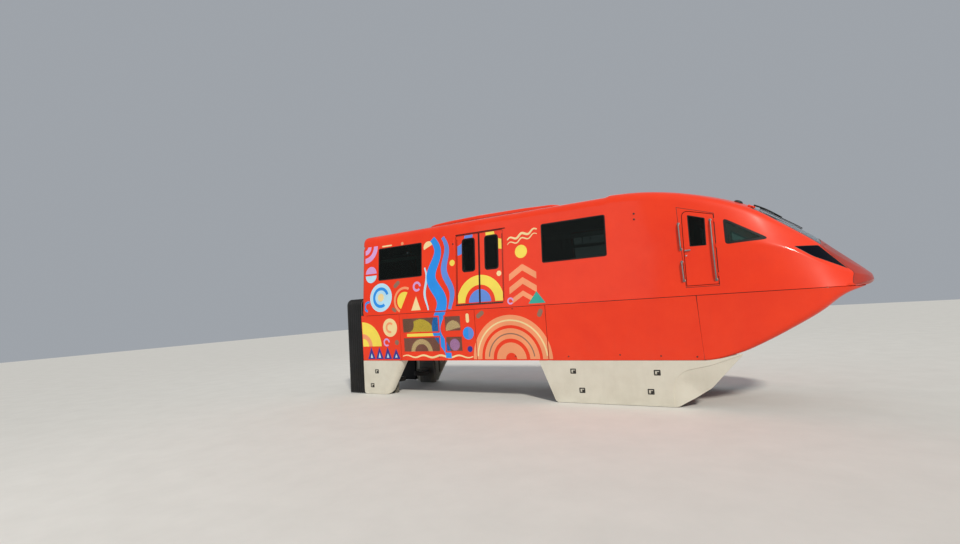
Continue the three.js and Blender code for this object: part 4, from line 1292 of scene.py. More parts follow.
def makeHeadlights():
    h = headlight
    loops = {gap: insetLoop(h["outline"], h["corners"], gap) for gap in (-0.004, 0.0006, 0.003, 0.008)}
    panel("headlight_{}_cover", sideLoop(loops[0.003], 0.04), [], "lampCover", -lampUnit["coverBack"],
            True, "car_body", "headlight_{}", "lamp_cover", thickness=lampUnit["cover"], edge=0.001,
            step=(0.05, 0.05))
    rim = skinPart(0.0006, loops[0.0006], [loops[0.008]], 0.04, thickness=0.012, edge=0.0015)
    addPair("headlight_{}_rim", rim, "black")
    bucket = skinPart(-0.062, loops[-0.004], (), 0.04, thickness=0.006, edge=0.002, step=(0.06, 0.06))
    addPair("headlight_{}_bucket", bucket, "black")
    lenses, rings = [], []
    for x, z, r in lampUnit["lamps"]:
        place, normal = onSide(x, z, -0.055)
        aim = normal + np.array((1.1, 0, -0.2))
        lenses.append(facing([(0.018, r * 0.9), (0.026, r * 0.72), (0.032, r * 0.4), (0.034, 0.0)],
                place, aim, 32))
        rings.append(facing([(0.0, r * 1.05), (0.022, r * 1.12), (0.024, r * 0.95), (0.014, r * 0.9),
                (0.012, 0.0)], place, aim, 32))
    addPair("headlight_{}_lenses", lenses, "lens")
    addPair("headlight_{}_rings", rings, "steel")


# wiper and the small black housing on the cab roof

wiper = {"pivot": (10.7, -0.64), "elbow": (11.18, -0.3), "bladeHalf": 0.46, "bladeTurn": (0.8, 0.6)}


def makeWiper():
    w = wiper
    (px, py), (ex, ey) = w["pivot"], w["elbow"]
    base, up = topPoint(px, py, 0.0)
    cap = [facing([(0, 0.046), (0.022, 0.044), (0.034, 0.034), (0.038, 0.0)], base, up, 28),
            turnedBox((0.13, 0.075, 0.03), topPoint(px - 0.055, py, 0.0)[0], up, 0.35)]
    addPiece("wiper_cap", cap, "red", bevel=0.006)
    line = [topPoint(px + (ex - px) * t, py + (ey - py) * t, 0.052 + 0.008 * sin(pi * t))[0]
            for t in np.linspace(0, 1, 14)]
    addPiece("wiper_arm", [tubePart(line, np.linspace(0.018, 0.011, 14), 10)], "black")
    dx, dy = w["bladeTurn"]
    along = np.linspace(-w["bladeHalf"], w["bladeHalf"], 26)
    spine = [topPoint(ex + dx * s, ey + dy * s, 0.036)[0] for s in along]
    lip = [topPoint(ex + dx * s, ey + dy * s, 0.016)[0] for s in along]
    addPiece("wiper_blade", [tubePart(spine, 0.008, 8), tubePart(lip, 0.0055, 8)], "rubber")
    place, normal = topPoint(10.44, -0.5, 0.0)
    horn = [facing([(0, 0.09), (0.012, 0.088), (0.032, 0.07), (0.044, 0.04), (0.047, 0.0)], place,
            normal, 32)]
    addPiece("roof_housing", horn, "black")


# roof fairing over the air conditioner

roofFairing = {"x": (2.25, 6.45), "half": 0.69, "profile": [(2.25, 4.868), (2.33, 4.915), (2.48, 4.945),
        (3.0, 4.98), (4.0, 5.003), (5.3, 4.985), (6.2, 4.942), (6.38, 4.905), (6.45, 4.868)],
        "split": 4.35, "seam": 0.006}


def makeRoofFairing():
    r = roofFairing
    table = np.array(r["profile"])

    def lay(flat):
        # first coordinate X, second the angle over the section
        x, angle = flat[:, 0], flat[:, 1]
        top = np.interp(x, table[:, 0], table[:, 1])
        ends = np.minimum((x - r["x"][0]) / 0.35, (r["x"][1] - x) / 0.35)
        half = r["half"] * (0.8 + 0.2 * np.sqrt(np.clip(1 - (1 - np.clip(ends, 0, 1)) ** 2, 0, 1)))
        c, s = np.cos(angle), np.sin(angle)
        y = -half * np.sign(c) * np.abs(c) ** 0.3
        base = 4.842
        z = base + (top - base) * np.maximum(s, 0) ** 0.42
        return np.stack([x + rearX, y, z], 1)

    def surface(flat):
        flat = np.asarray(flat, float)
        h = 1e-3
        place = lay(flat)
        low = lay(np.stack([np.maximum(flat[:, 0] - h, r["x"][0]), flat[:, 1]], 1))
        high = lay(np.stack([np.minimum(flat[:, 0] + h, r["x"][1]), flat[:, 1]], 1))
        a = lay(np.stack([flat[:, 0], np.maximum(flat[:, 1] - 0.02, 0.01)], 1))
        b = lay(np.stack([flat[:, 0], np.minimum(flat[:, 1] + 0.02, pi - 0.01)], 1))
        n = np.cross(high - low, b - a)
        n /= np.maximum(np.linalg.norm(n, axis=1)[:, None], 1e-12)
        return place, n

    for name, x0, x1 in (("rear", r["x"][0] + 0.001, r["split"] - r["seam"]),
            ("front", r["split"] + r["seam"], r["x"][1] - 0.001)):
        part = panelPart(surface, rectangle(x0, x1, 0.02, pi - 0.02), [], thickness=0.012, edge=0.003,
                step=(0.09, 0.07), loopStep=0.09)
        addPiece(f"roof_fairing_{name}", part, "red", "car_body", "roof_pod" if name == "rear" else "",
                "red_paint")
    # fan grilles on top and a gutter strip along each foot
    fans, guards = [], []
    for x in (3.1, 3.9, 4.85, 5.55):
        z = float(np.interp(x, table[:, 0], table[:, 1])) - 0.004
        place = (x + rearX, 0.0, z)
        fans.append(facing([(0.0, 0.24), (0.01, 0.238), (0.012, 0.225), (0.004, 0.215), (0.003, 0.0)],
                place, (0, 0, 1), 48))
        for k, radius in enumerate((0.205, 0.165, 0.125, 0.085, 0.045)):
            circle = [(x + rearX + dx, dy, z + 0.01) for dx, dy in around(40, radius)]
            guards.append(ringTube(circle, 0.0035, 6))
        guards += [tubePart([(x + rearX + s * dx, s * dy, z + 0.0135) for s in (-1, -0.5, 0, 0.5, 1)],
                0.003, 6) for dx, dy in around(8, 0.215)[:4]]
    addPiece("roof_fans", fans, "black")
    addPiece("roof_fan_guards", guards, "dull")
    gutter = [tubePart([topPoint(x, y, 0.004)[0] for x in np.linspace(2.3, 6.4, 22)], 0.007, 8)
            for y in (-0.735, 0.735)]
    addPiece("roof_gutters", gutter, "rubber")


# plain shapes of the coloured wrap, in X and Z

def halfDisc(x, z, r, turn, steps=22):
    t = np.linspace(0, pi, steps) + turn
    return [(x + r * cos(a), z + r * sin(a)) for a in t]


def arcBand(x, z, inner, outer, start, sweep, steps=26):
    t = np.linspace(start, start + sweep, steps)
    return ([(x + outer * cos(a), z + outer * sin(a)) for a in t]
            + [(x + inner * cos(a), z + inner * sin(a)) for a in reversed(t)])


def capsule(x0, z0, x1, z1, r, steps=10):
    turn = math.atan2(z1 - z0, x1 - x0)
    a = [(x1 + r * cos(t), z1 + r * sin(t)) for t in np.linspace(turn - pi / 2, turn + pi / 2, steps)]
    b = [(x0 + r * cos(t), z0 + r * sin(t)) for t in np.linspace(turn + pi / 2, turn + 3 * pi / 2,
            steps)]
    return a + b


def waveBand(x0, z0, x1, z1, width, swing, waves, steps=60, lag=0.0):
    t = np.linspace(0, 1, steps)
    dx, dz = x1 - x0, z1 - z0
    length = math.hypot(dx, dz)
    ux, uz = dx / length, dz / length
    shift = swing * np.sin(2 * pi * (waves * t + lag))
    cx, cz = x0 + dx * t - uz * shift, z0 + dz * t + ux * shift
    wide = width / 2 * (0.55 + 0.45 * np.sin(pi * np.clip(t * 1.04 - 0.02, 0, 1)))
    tx, tz = np.gradient(cx), np.gradient(cz)
    size = np.hypot(tx, tz)
    nx, nz = -tz / size, tx / size
    return (list(zip(cx - nx * wide, cz - nz * wide)) + list(zip((cx + nx * wide)[::-1],
            (cz + nz * wide)[::-1])))


def chevron(x, z, w, h, t):
    return [(x - w, z - h), (x, z), (x + w, z - h), (x + w, z - h - t), (x, z - t), (x - w, z - h - t)]


def disc(x, z, r):
    return ovalLoop(x, z, r, r, 0, 40)


def triangle(x, z, w, h):
    return [(x, z), (x + w, z), (x + w / 2, z + h)]


halfTurn = pi
# colour, layer, shape, its measures
wrapTable = [
    ("lilac", 0, arcBand, (0.16, 4.46, 0.34, 0.5, -halfTurn / 2, halfTurn / 2)),
    ("lilac", 0, arcBand, (0.16, 4.46, 0.1, 0.24, -halfTurn / 2, halfTurn / 2)),
    ("lilac", 0, halfDisc, (0.4, 3.62, 0.22, 0.0)), ("light", 0, halfDisc, (0.4, 3.56, 0.22, halfTurn)),
    ("peach", 0, disc, (1.62, 4.42, 0.05)), ("cream", 0, capsule, (0.86, 4.42, 1.2, 4.42, 0.022)),
    ("light", 0, disc, (0.8, 2.87, 0.43)), ("bright", 1, arcBand, (0.8, 2.87, 0.22, 0.31, 0.3, 5.0)),
    ("cream", 1, disc, (0.8, 2.87, 0.12)), ("bright", 0, arcBand, (0.3, 2.62, 0.1, 0.17, 1.2, 3.4)),
    ("taupe", 0, capsule, (1.36, 3.18, 1.46, 3.26, 0.065)), ("taupe", 0, capsule,
        (1.28, 2.5, 1.36, 2.45, 0.05)),
    ("yellow", 0, halfDisc, (1.7, 2.72, 0.26, 1.1)), ("peach", 0, arcBand,
        (1.7, 2.74, 0.32, 0.39, 1.1, halfTurn)),
    ("cream", 0, triangle, (1.96, 2.42, 0.34, 0.4)), ("lilac", 0, arcBand,
        (2.16, 3.1, 0.08, 0.145, 0.0, 5.6)),
    ("yellow", 0, arcBand, (0.03, 1.42, 0.00001, 0.74, 0.0, halfTurn / 2)),
    ("peach", 1, arcBand, (0.03, 1.42, 0.24, 0.38, 0.0, halfTurn / 2)),
    ("cream", 0, disc, (1.13, 1.96, 0.27)), ("peach", 1, arcBand, (1.13, 1.96, 0.1, 0.16, 0.8, 4.2)),
    ("lilac", 0, arcBand, (0.97, 1.53, 0.07, 0.12, 0, 5.4)), ("taupe", 0, disc, (1.36, 1.52, 0.075)),
    ("navy", 0, triangle, (0.2, 1.04, 0.3, 0.36)), ("navy", 0, triangle, (0.52, 1.04, 0.3, 0.36)),
    ("navy", 0, triangle, (0.84, 1.04, 0.3, 0.36)), ("navy", 0, triangle, (1.16, 1.04, 0.3, 0.3)),
    ("light", 1, triangle, (0.3, 1.08, 0.1, 0.13)), ("light", 1, triangle, (0.62, 1.08, 0.1, 0.16)),
    ("light", 1, triangle, (0.94, 1.08, 0.1, 0.13)), ("light", 1, triangle, (1.26, 1.08, 0.1, 0.11)),
    ("bright", 1, waveBand, (2.72, 4.42, 3.02, 1.05, 0.34, 0.15, 2.3, 90)),
    ("mid", 0, waveBand, (3.08, 4.42, 3.34, 2.4, 0.2, 0.09, 1.6)),
    ("light", 0, waveBand, (2.44, 3.62, 2.52, 2.4, 0.08, 0.05, 1.2)),
    ("cream", 0, halfDisc, (2.58, 4.2, 0.17, 0.4)), ("yellow", 0, disc, (3.39, 3.66, 0.085)),
    ("yellow", 0, arcBand, (4.25, 2.53, 0.46, 0.72, 0.0, halfTurn, 50)), ("mid", 0, halfDisc,
        (4.25, 2.53, 0.34, 0.0)),
    ("mid", 0, arcBand, (3.5, 4.4, 0.3, 0.56, -halfTurn / 2, halfTurn / 2)),
    ("yellow", 0, arcBand, (4.98, 4.4, 0.26, 0.52, halfTurn, halfTurn / 2)), ("cream", 0, disc,
        (4.84, 3.24, 0.07)),
    ("peach", 0, arcBand, (5.08, 1.03, 0.86, 1.12, 0.0, halfTurn, 60)),
    ("peach", 0, arcBand, (5.08, 1.03, 0.52, 0.78, 0.0, halfTurn, 48)),
    ("peach", 0, arcBand, (5.08, 1.03, 0.16, 0.42, 0.0, halfTurn, 40)),
    ("cream", 1, arcBand, (5.08, 1.03, 0.965, 1.005, 0.08, halfTurn - 0.16, 60)),
    ("taupe", 1, arcBand, (5.08, 1.03, 0.63, 0.66, 0.1, halfTurn - 0.2, 44)),
    ("peach", 0, chevron, (5.52, 3.42, 0.38, 0.24, 0.17)), ("peach", 0, chevron,
        (5.52, 3.08, 0.38, 0.24, 0.17)),
    ("peach", 0, chevron, (5.52, 2.74, 0.3, 0.18, 0.13)), ("yellow", 0, disc, (5.5, 3.74, 0.17)),
    ("cream", 0, waveBand, (5.12, 4.08, 5.96, 4.26, 0.06, 0.04, 2.5)),
    ("cream", 0, waveBand, (5.12, 3.96, 5.96, 4.14, 0.035, 0.04, 2.5)),
    ("taupe", 0, capsule, (4.18, 2.16, 4.3, 2.24, 0.06)), ("taupe", 0, capsule,
        (5.93, 2.12, 5.97, 2.2, 0.06)),
    ("teal", 1, triangle, (5.66, 2.4, 0.46, 0.3)), ("lilac", 1, arcBand,
        (5.16, 2.5, 0.05, 0.09, 0.0, 5.6)),
    ("cream", 0, waveBand, (1.56, 1.12, 3.94, 1.1, 0.055, 0.03, 4.0, 90)),
    ("bright", 0, halfDisc, (3.84, 1.72, 0.17, halfTurn / 2)), ("mid", 0, halfDisc,
        (3.84, 1.72, 0.17, -halfTurn / 2)),
    ("cream", 0, capsule, (3.84, 2.05, 3.84, 2.2, 0.05)), ("navy", 0, disc, (3.86, 1.3, 0.08)),
    ("yellow", 0, halfDisc, (2.25, 1.66, 0.5, 0.0)), ("taupe", 1, disc, (1.8, 2.02, 0.22)),
    ("cream", 0, arcBand, (2.25, 1.22, 0.24, 0.38, 0.0, halfTurn)),
    ("lilac", 0, disc, (3.38, 1.42, 0.16)), ("cream", 0, halfDisc, (3.36, 1.84, 0.24, 0.2)),
]
wrapShapes = [(colour, layer, shape(*measures)) for colour, layer, shape, measures in wrapTable]


# grilles in the lower panels

def crossings(loop, z):
    # where a level line runs inside a closed loop
    ends = []
    for (ax, az), (bx, bz) in zip(loop, list(loop[1:]) + [loop[0]]):
        if (az > z) != (bz > z):
            ends.append(ax + (bx - ax) * (z - az) / (bz - az))
    return list(zip(sorted(ends)[::2], sorted(ends)[1::2]))


def slatPart(x0, x1, z, back=0.008):
    (a, _), (b, _) = onSide(x0, z, -back), onSide(x1, z, -back)
    half = np.linalg.norm(b - a) / 2
    verts, faces = boxPart(-half, half, -0.0014, 0.0014, -0.0085, 0.0085)
    c, d = cos(math.radians(38)), sin(math.radians(38))
    turned = np.stack([verts[:, 0], verts[:, 1] * c - verts[:, 2] * d,
            verts[:, 1] * d + verts[:, 2] * c], 1)
    return turned + (a + b) / 2, faces


def makeGrilles():
    rims, backs, posts = [], [], []
    slats = {"mesh": []}
    for x0, x1, z0, z1 in lowerPanels["grilles"]:
        loop = roundedLoop(rectangle(x0 + 0.002, x1 - 0.002, z0 + 0.002, z1 - 0.002), 0.028)
        rims.append(skinPart(0.002, loop, [growLoop(loop, -0.016)], 0.1, thickness=0.02, edge=0.003))
        backs.append(skinPart(-0.045, growLoop(loop, 0.01), (), 0.1, thickness=0.006, edge=0.002,
                step=(0.4, 0.2)))
        for z in np.arange(z0 + 0.024, z1 - 0.018, 0.016):
            slats["mesh"].append(slatPart(x0 + 0.014, x1 - 0.014, z))
            for colour, layer, loop in wrapShapes:
                for a, b in crossings(loop, z):
                    a, b = max(a, x0 + 0.016), min(b, x1 - 0.016)
                    if b - a > 0.02:
                        slats.setdefault(colour, []).append(slatPart(a, b, z, 0.0072 - 0.0007 * layer))
        for x in np.linspace(x0, x1, 2 + int((x1 - x0) / 0.3))[1:-1]:
            line = [onSide(x, z, -0.02)[0] for z in (z0 + 0.01, (z0 + z1) / 2, z1 - 0.01)]
            posts.append(tubePart(line, 0.004, 6))
    for colour, parts in slats.items():
        addPair(f"grille_{{}}_slats_{colour}", parts, colour)
    addPair("grille_{}_posts", posts, "mesh")
    addPair("grille_{}_rims", rims, "red")
    addPair("grille_{}_backs", backs, "black")


# screws and small round fittings on the sides

smallFittings = {"dots": [(8.355, 4.28), (8.353, 4.15)], "dotRadius": 0.022,
        "screws": [(0.3, 1.1), (1.35, 1.09), (2.85, 1.09), (5.2, 1.1), (5.2, 2.3), (7.82, 1.12),
        (9.42, 1.07), (6.6, 1.09), (8.7, 1.09)], "screwRadius": 0.017}


def makeSmallFittings():
    s = smallFittings
    dots = [facing([(0, s["dotRadius"]), (0.006, s["dotRadius"] * 0.95), (0.01, s["dotRadius"] * 0.6),
            (0.011, 0.0)], *onSide(*p, 0.0), 24) for p in s["dots"]]
    screws = [facing([(0, s["screwRadius"]), (0.002, s["screwRadius"]), (0.003, s["screwRadius"] * 0.8),
            (0.0015, s["screwRadius"] * 0.4), (0.0015, 0.0)], *onSide(*p, 0.0), 18)
            for p in s["screws"]]
    addPair("side_buttons_{}", dots, "black")
    addPair("side_screws_{}", screws, "black")


# skirts

skirtForm = {"outer": 1.303, "thickness": 0.034, "rear": [(0.004, 0.012), (0.975, 0.012),
        (1.592, 0.986), (0.004, 0.986)], "rearCorners": [0.09, 0.13, 0.004, 0.004],
        "front": [(5.826, 0.986), (6.195, 0.055), (6.24, 0.012), (8.882, 0.012), (8.882, 0.347),
        (8.967, 0.639), (9.162, 0.786), (9.672, 0.9), (10.225, 1.098), (10.215, 1.116), (9.85, 1.022),
        (9.6, 0.986)], "frontCorners": [0.004, 0.05, 0.04, 0.004, 0.1, 0.14, 0.14, 0.12, 0.008, 0.01,
        0.1, 0.05], "wing": [(8.85, 0.012), (8.955, 0.012), (9.345, 0.232), (9.632, 0.417),
        (10.262, 1.106), (10.228, 1.112), (9.664, 0.925), (9.145, 0.812), (8.94, 0.655), (8.85, 0.35)],
        "wingCorners": [0.004, 0.08, 0.05, 0.05, 0.01, 0.01, 0.1, 0.1, 0.1, 0.05], "wrap": 0.22,
        "crease": [(10.4, 1.185), (9.672, 0.905), (9.162, 0.786), (8.967, 0.639), (8.882, 0.347),
        (8.882, -0.1)], "lean": 0.13, "step": 0.011, "latches": {"rear": [(0.524, 0.674),
        (0.326, 0.258)], "front": [(6.683, 0.745), (6.872, 0.303), (8.587, 0.731), (8.424, 0.318)]},
        "latch": (0.068, 0.058)}


def distanceToLine(points, line):
    # signed distance to a polyline, positive on its right
    best = np.full(len(points), 1e9)
    sign = np.ones(len(points))
    for a, b in zip(np.array(line[:-1]), np.array(line[1:])):
        d = b - a
        t = np.clip(((points - a) @ d) / (d @ d), 0, 1)
        off = points - (a + t[:, None] * d)
        reach = np.linalg.norm(off, axis=1)
        closer = reach < best
        cross = d[0] * off[:, 1] - d[1] * off[:, 0]
        best = np.where(closer, reach, best)
        sign = np.where(closer, np.where(cross > 0, 1.0, -1.0), sign)
    return best * sign


def skirtSurface(kind, out=0.0):
    s = skirtForm

    def inset(flat):
        if kind == "rear":
            # the front edge curls in towards the beam
            (ax, az), (bx, bz) = s["rear"][1], s["rear"][2]
            length = math.hypot(bx - ax, bz - az)
            d = ((bz - az) * (ax - flat[:, 0]) - (bx - ax) * (az - flat[:, 1])) / length
            under = np.clip(s["wrap"] - np.maximum(d, 0.0), 0, s["wrap"])
            return (s["wrap"] - np.sqrt(np.maximum(s["wrap"] ** 2 - under ** 2, 0))) * 0.8
        if kind == "front":
            return 0.0 * flat[:, 0]
        beyond = np.maximum(distanceToLine(flat, s["crease"]), 0)
        return s["step"] + s["lean"] * beyond * beyond / (beyond + 0.045)

    def place(flat):
        return np.stack([flat[:, 0] + rearX, -(s["outer"] - inset(flat)), flat[:, 1]], 1)

    def surface(flat):
        flat = np.asarray(flat, float)
        h = 4e-3
        dx, dz = np.array((h, 0.0)), np.array((0.0, h))
        n = np.cross(place(flat + dx) - place(flat - dx), place(flat + dz) - place(flat - dz))
        n /= np.linalg.norm(n, axis=1)[:, None]
        return place(flat) + n * out, n
    return surface


def makeSkirts():
    s = skirtForm
    wide, tall = s["latch"]

    def latchLoop(x, z, dx, dz, corner):
        return roundedLoop(rectangle(*grown((x, x, z, z), wide - dx, tall - dz)), corner)

    for kind in ("rear", "front"):
        surface = skirtSurface(kind)
        holes = [latchLoop(*spot, 0.01, 0.01, 0.008) for spot in s["latches"][kind]]
        sheets = [panelPart(surface, roundedLoop(s[kind], s[kind + "Corners"], 6), holes,
                thickness=s["thickness"], edge=0.006, step=(0.06, 0.06), loopStep=0.05)]
        if kind == "front":
            sheets.append(panelPart(skirtSurface("wing"), roundedLoop(s["wing"], s["wingCorners"], 6),
                    [], thickness=0.024, edge=0.006, step=(0.06, 0.06), loopStep=0.05))
        addPair(f"skirt_{kind}_{{}}_skin", sheets, "skirt", replaces=f"skirt_{kind}_{{}}",
                slot="skirt_paint")
        # flush latches: a black bezel, a plate set back and a square hook
        bezels, plates = [], []
        for x, z in s["latches"][kind]:
            outer = latchLoop(x, z, 0.0, 0.0, 0.014)
            inner = latchLoop(x, z, 0.02, 0.018, 0.006)
            bezels.append(panelPart(skirtSurface(kind, 0.003), outer, [inner], thickness=0.016,
                    edge=0.003, step=(9.0, 9.0))[:2])
            plates.append(panelPart(skirtSurface(kind, -0.006), growLoop(inner, 0.003), [],
                    thickness=0.005, edge=0.001, step=(9.0, 9.0))[:2])
            (place,), (normal,) = surface(np.array([(x + 0.03, z - 0.01)]))
            bezels.append(turnedBox((0.062, 0.052, 0.014), place, normal, 0.0, -0.006))
        addPair(f"skirt_{kind}_{{}}_latches", bezels, "black")
        addPair(f"skirt_{kind}_{{}}_latch_plates", plates, "skirt")
        # inner stiffeners and brackets up to the floor sill
        ribs = []
        spans = {"rear": (0.2, 0.6, 1.0), "front": (6.35, 7.1, 7.85, 8.6, 9.3)}[kind]
        for x in spans:
            ribs.append(alongBody(boxPart(x - 0.02, x + 0.02, -1.268, -1.222, 0.3 if x < 9.2 else 0.62,
                    0.99)))
        rail = (0.05, 1.25) if kind == "rear" else (6.05, 9.45)
        ribs.append(alongBody(boxPart(*rail, -1.266, -1.232, 0.93, 0.975)))
        addPair(f"skirt_{kind}_{{}}_stiffeners", ribs, "frame", bevel=0.003)


# ribbed bellows at the rear end

bellowsForm = {"half": 1.29, "top": 2.89, "corner": 0.2, "foot": 0.025, "reach": 0.62, "folds": 7,
        "depth": 0.042, "wall": 0.1, "clamps": [(-0.03, -0.001), (-0.62, -0.596)],
        "clampDepth": (0.012, 0.088)}


def makeBellows():
    b = bellowsForm
    arc = [(-b["half"] + b["corner"] - b["corner"] * cos(t), b["top"] - b["corner"] + b["corner"]
            * sin(t)) for t in np.linspace(0, pi / 2, 10)]
    up = [(-b["half"], z) for z in np.linspace(b["foot"], b["top"] - b["corner"], 14)[:-1]]
    half = up + arc
    path = np.array(half + [(-y, z) for y, z in reversed(half)])
    tangent = unit(np.gradient(path, axis=0))
    inwards = np.stack([tangent[:, 1], -tangent[:, 0]], 1)
    perFold = 10
    xs = np.linspace(-b["reach"] + 0.002, -0.001, b["folds"] * perFold + 1)
    wave = np.abs(np.sin(np.pi * (xs + b["reach"]) / b["reach"] * b["folds"])) ** 0.55
    depth = b["depth"] * (1 - wave)
    outer = list(zip(xs, depth))
    inner = [(x, b["wall"]) for x in np.linspace(xs[-1], xs[0], 24)]
    profile = outer + inner
    addPiece("end_bellows_folds", sweepPart(path, inwards, profile), "bellows", "car_body",
            "end_bellows", "bellows_rubber", sharp=0.9)
    # clamping frame that holds the curtain to the end of the body
    clamps = [sweepPart(path, inwards, rectangle(*ends, *b["clampDepth"])) for ends in b["clamps"]]
    addPiece("bellows_clamps", clamps, "dull", bevel=0.003)


makeSideGlass()
makeDoors()
makeDoorSurround()
makeCabDoors()
makeHeadlights()
makeWiper()
makeRoofFairing()
makeHood()
makeGrilles()
makeSmallFittings()
makeSkirts()
makeBellows()
print("fittings done")


# black strips behind the seams as painted shade in the gaps, end wall, lining and floor

seamGapShade = {"half": 0.022, "depth": 0.012, "thickness": 0.006}


def makeSeamBacking():
    # black strips set behind the seam gaps paint the shade inside them
    s, f = seamGapShade, bodyForm
    spans = [(0.15, 12.02, f["waist"] - s["half"], f["waist"] + s["half"])]
    spans += [(x - s["half"], x + s["half"], f["sill"] + 0.012, f["waist"] - 0.03)
            for x in lowerPanels["splits"][1:]]
    strips = [skinPart(-s["depth"], rectangle(*r), (), 0.06, thickness=s["thickness"], edge=0.001,
            step=(0.3, 0.2)) for r in spans]
    addPair("seam_backing_{}", strips, "black")


def crossPlane(x):
    # a surface across the body that faces the rear; coordinates are (-Y, Z)
    def lay(flat):
        flat = np.asarray(flat, float)
        places = np.stack([np.full(len(flat), x + rearX), -flat[:, 0], flat[:, 1]], 1)
        return places, np.tile((-1.0, 0.0, 0.0), (len(flat), 1))
    return lay


def sectionLoop(x, inset, low):
    # the body's own section above a height, moved in
    i = int(np.searchsorted(skin["x"], x))
    ring = skin["places"][i][:, 1:]
    ring = ring[ring[:, 1] >= low]
    half = [(-y, z) for y, z in ring]
    loop = half + [(-y, z) for y, z in reversed(half[:-1])]
    return growLoop(np.array(loop), -inset)


endWall = {"x": 0.003, "thickness": 0.03, "inset": 0.136, "foot": 2.545,
        "brackets": [(0.83, 4.4), (0.83, 3.36)], "panelHalf": 0.42, "panelZ": (2.72, 4.34)}


def makeEndWall():
    e = endWall
    loop = sectionLoop(0.3, e["inset"], e["foot"])
    wall = panelPart(crossPlane(e["x"]), loop, [], thickness=e["thickness"], edge=0.003,
            step=(0.2, 0.2))
    # the end wall and its hatch take the darker red of painted shade
    addPiece("end_wall_skin", wall, "endRed", "car_body", "end_wall", "end_paint")
    door = roundedLoop(rectangle(-e["panelHalf"], e["panelHalf"], *e["panelZ"]), 0.05)
    raised = panelPart(crossPlane(e["x"] - 0.006), door, [], thickness=0.012, edge=0.003,
            step=(0.2, 0.2))[:2]
    addPiece("end_hatch", [raised], "endRed")
    seal = panelPart(crossPlane(e["x"] - 0.002), growLoop(door, 0.014), [growLoop(door, 0.0045)],
            thickness=0.006, edge=0.002, step=(9, 9))[:2]
    addPiece("end_hatch_seal", [seal], "rubber")
    back = (-1.0, 0.0, 0.0)
    hardware, studs = [], []
    for y in (-e["brackets"][0][0], e["brackets"][0][0]):
        for _, z in e["brackets"]:
            place = np.array((e["x"] + rearX, y, z))
            hardware.append(turnedBox((0.2, 0.13, 0.012), place, back))
            hardware.append(turnedBox((0.13, 0.075, 0.055), place, back, 0, 0.012))
            for dy, dz in ((-0.03, 0.045), (0.035, 0.045)):
                studs.append(facing([(0, 0.016), (0.075, 0.016), (0.08, 0.011), (0.095, 0.011)],
                        place + (0, dy, dz - 0.05), back, 16))
            studs += [facing([(0, 0.011), (0.018, 0.011), (0.02, 0.008)], place + (0, dy, dz), back, 12)
                    for dy in (-0.085, 0.085) for dz in (0.045, -0.045)]
    addPiece("end_brackets", hardware, "black", bevel=0.004)
    for y in np.linspace(-0.36, 0.36, 5):
        for z in (e["panelZ"][0] + 0.04, e["panelZ"][1] - 0.04):
            studs.append(facing([(0, 0.012), (0.005, 0.011), (0.007, 0.006)],
                    (e["x"] - 0.006 + rearX, y, z), back, 12))
    addPiece("end_bolts", studs, "dull")
    for i, side in enumerate((-1, 1)):
        line = [(e["x"] + rearX, side * 0.53, 3.05), (e["x"] - 0.05 + rearX, side * 0.53, 3.07)]
        line += [(e["x"] - 0.055 + rearX, side * 0.53, z) for z in (3.12, 3.5, 3.88)]
        line += [(e["x"] - 0.05 + rearX, side * 0.53, 3.93), (e["x"] + rearX, side * 0.53, 3.95)]
        addPiece(f"end_handle_{i + 1}", [tubePart(bezierPath(line, 2), 0.013, 12)], "steel")


liner = {"gap": 0.083, "thickness": 0.006, "x": (0.115, 8.94), "ceilingX": (0.115, 8.9)}


saloon = {"railY": (-0.62, 0.62), "railZ": 4.16, "rail": 0.016, "hangerZ": 4.75, "hanger": 0.011,
        "floorZ": 2.51, "posts": (3.25, 5.25), "post": 0.017, "loopZ": 3.93, "loop": 0.055,
        "loopRod": 0.008, "strap": (0.011, 0.0025, 3.985, 4.148), "lightY": (-0.42, 0.42),
        "lights": (0.5, 8.6, 4.7, 4.722)}


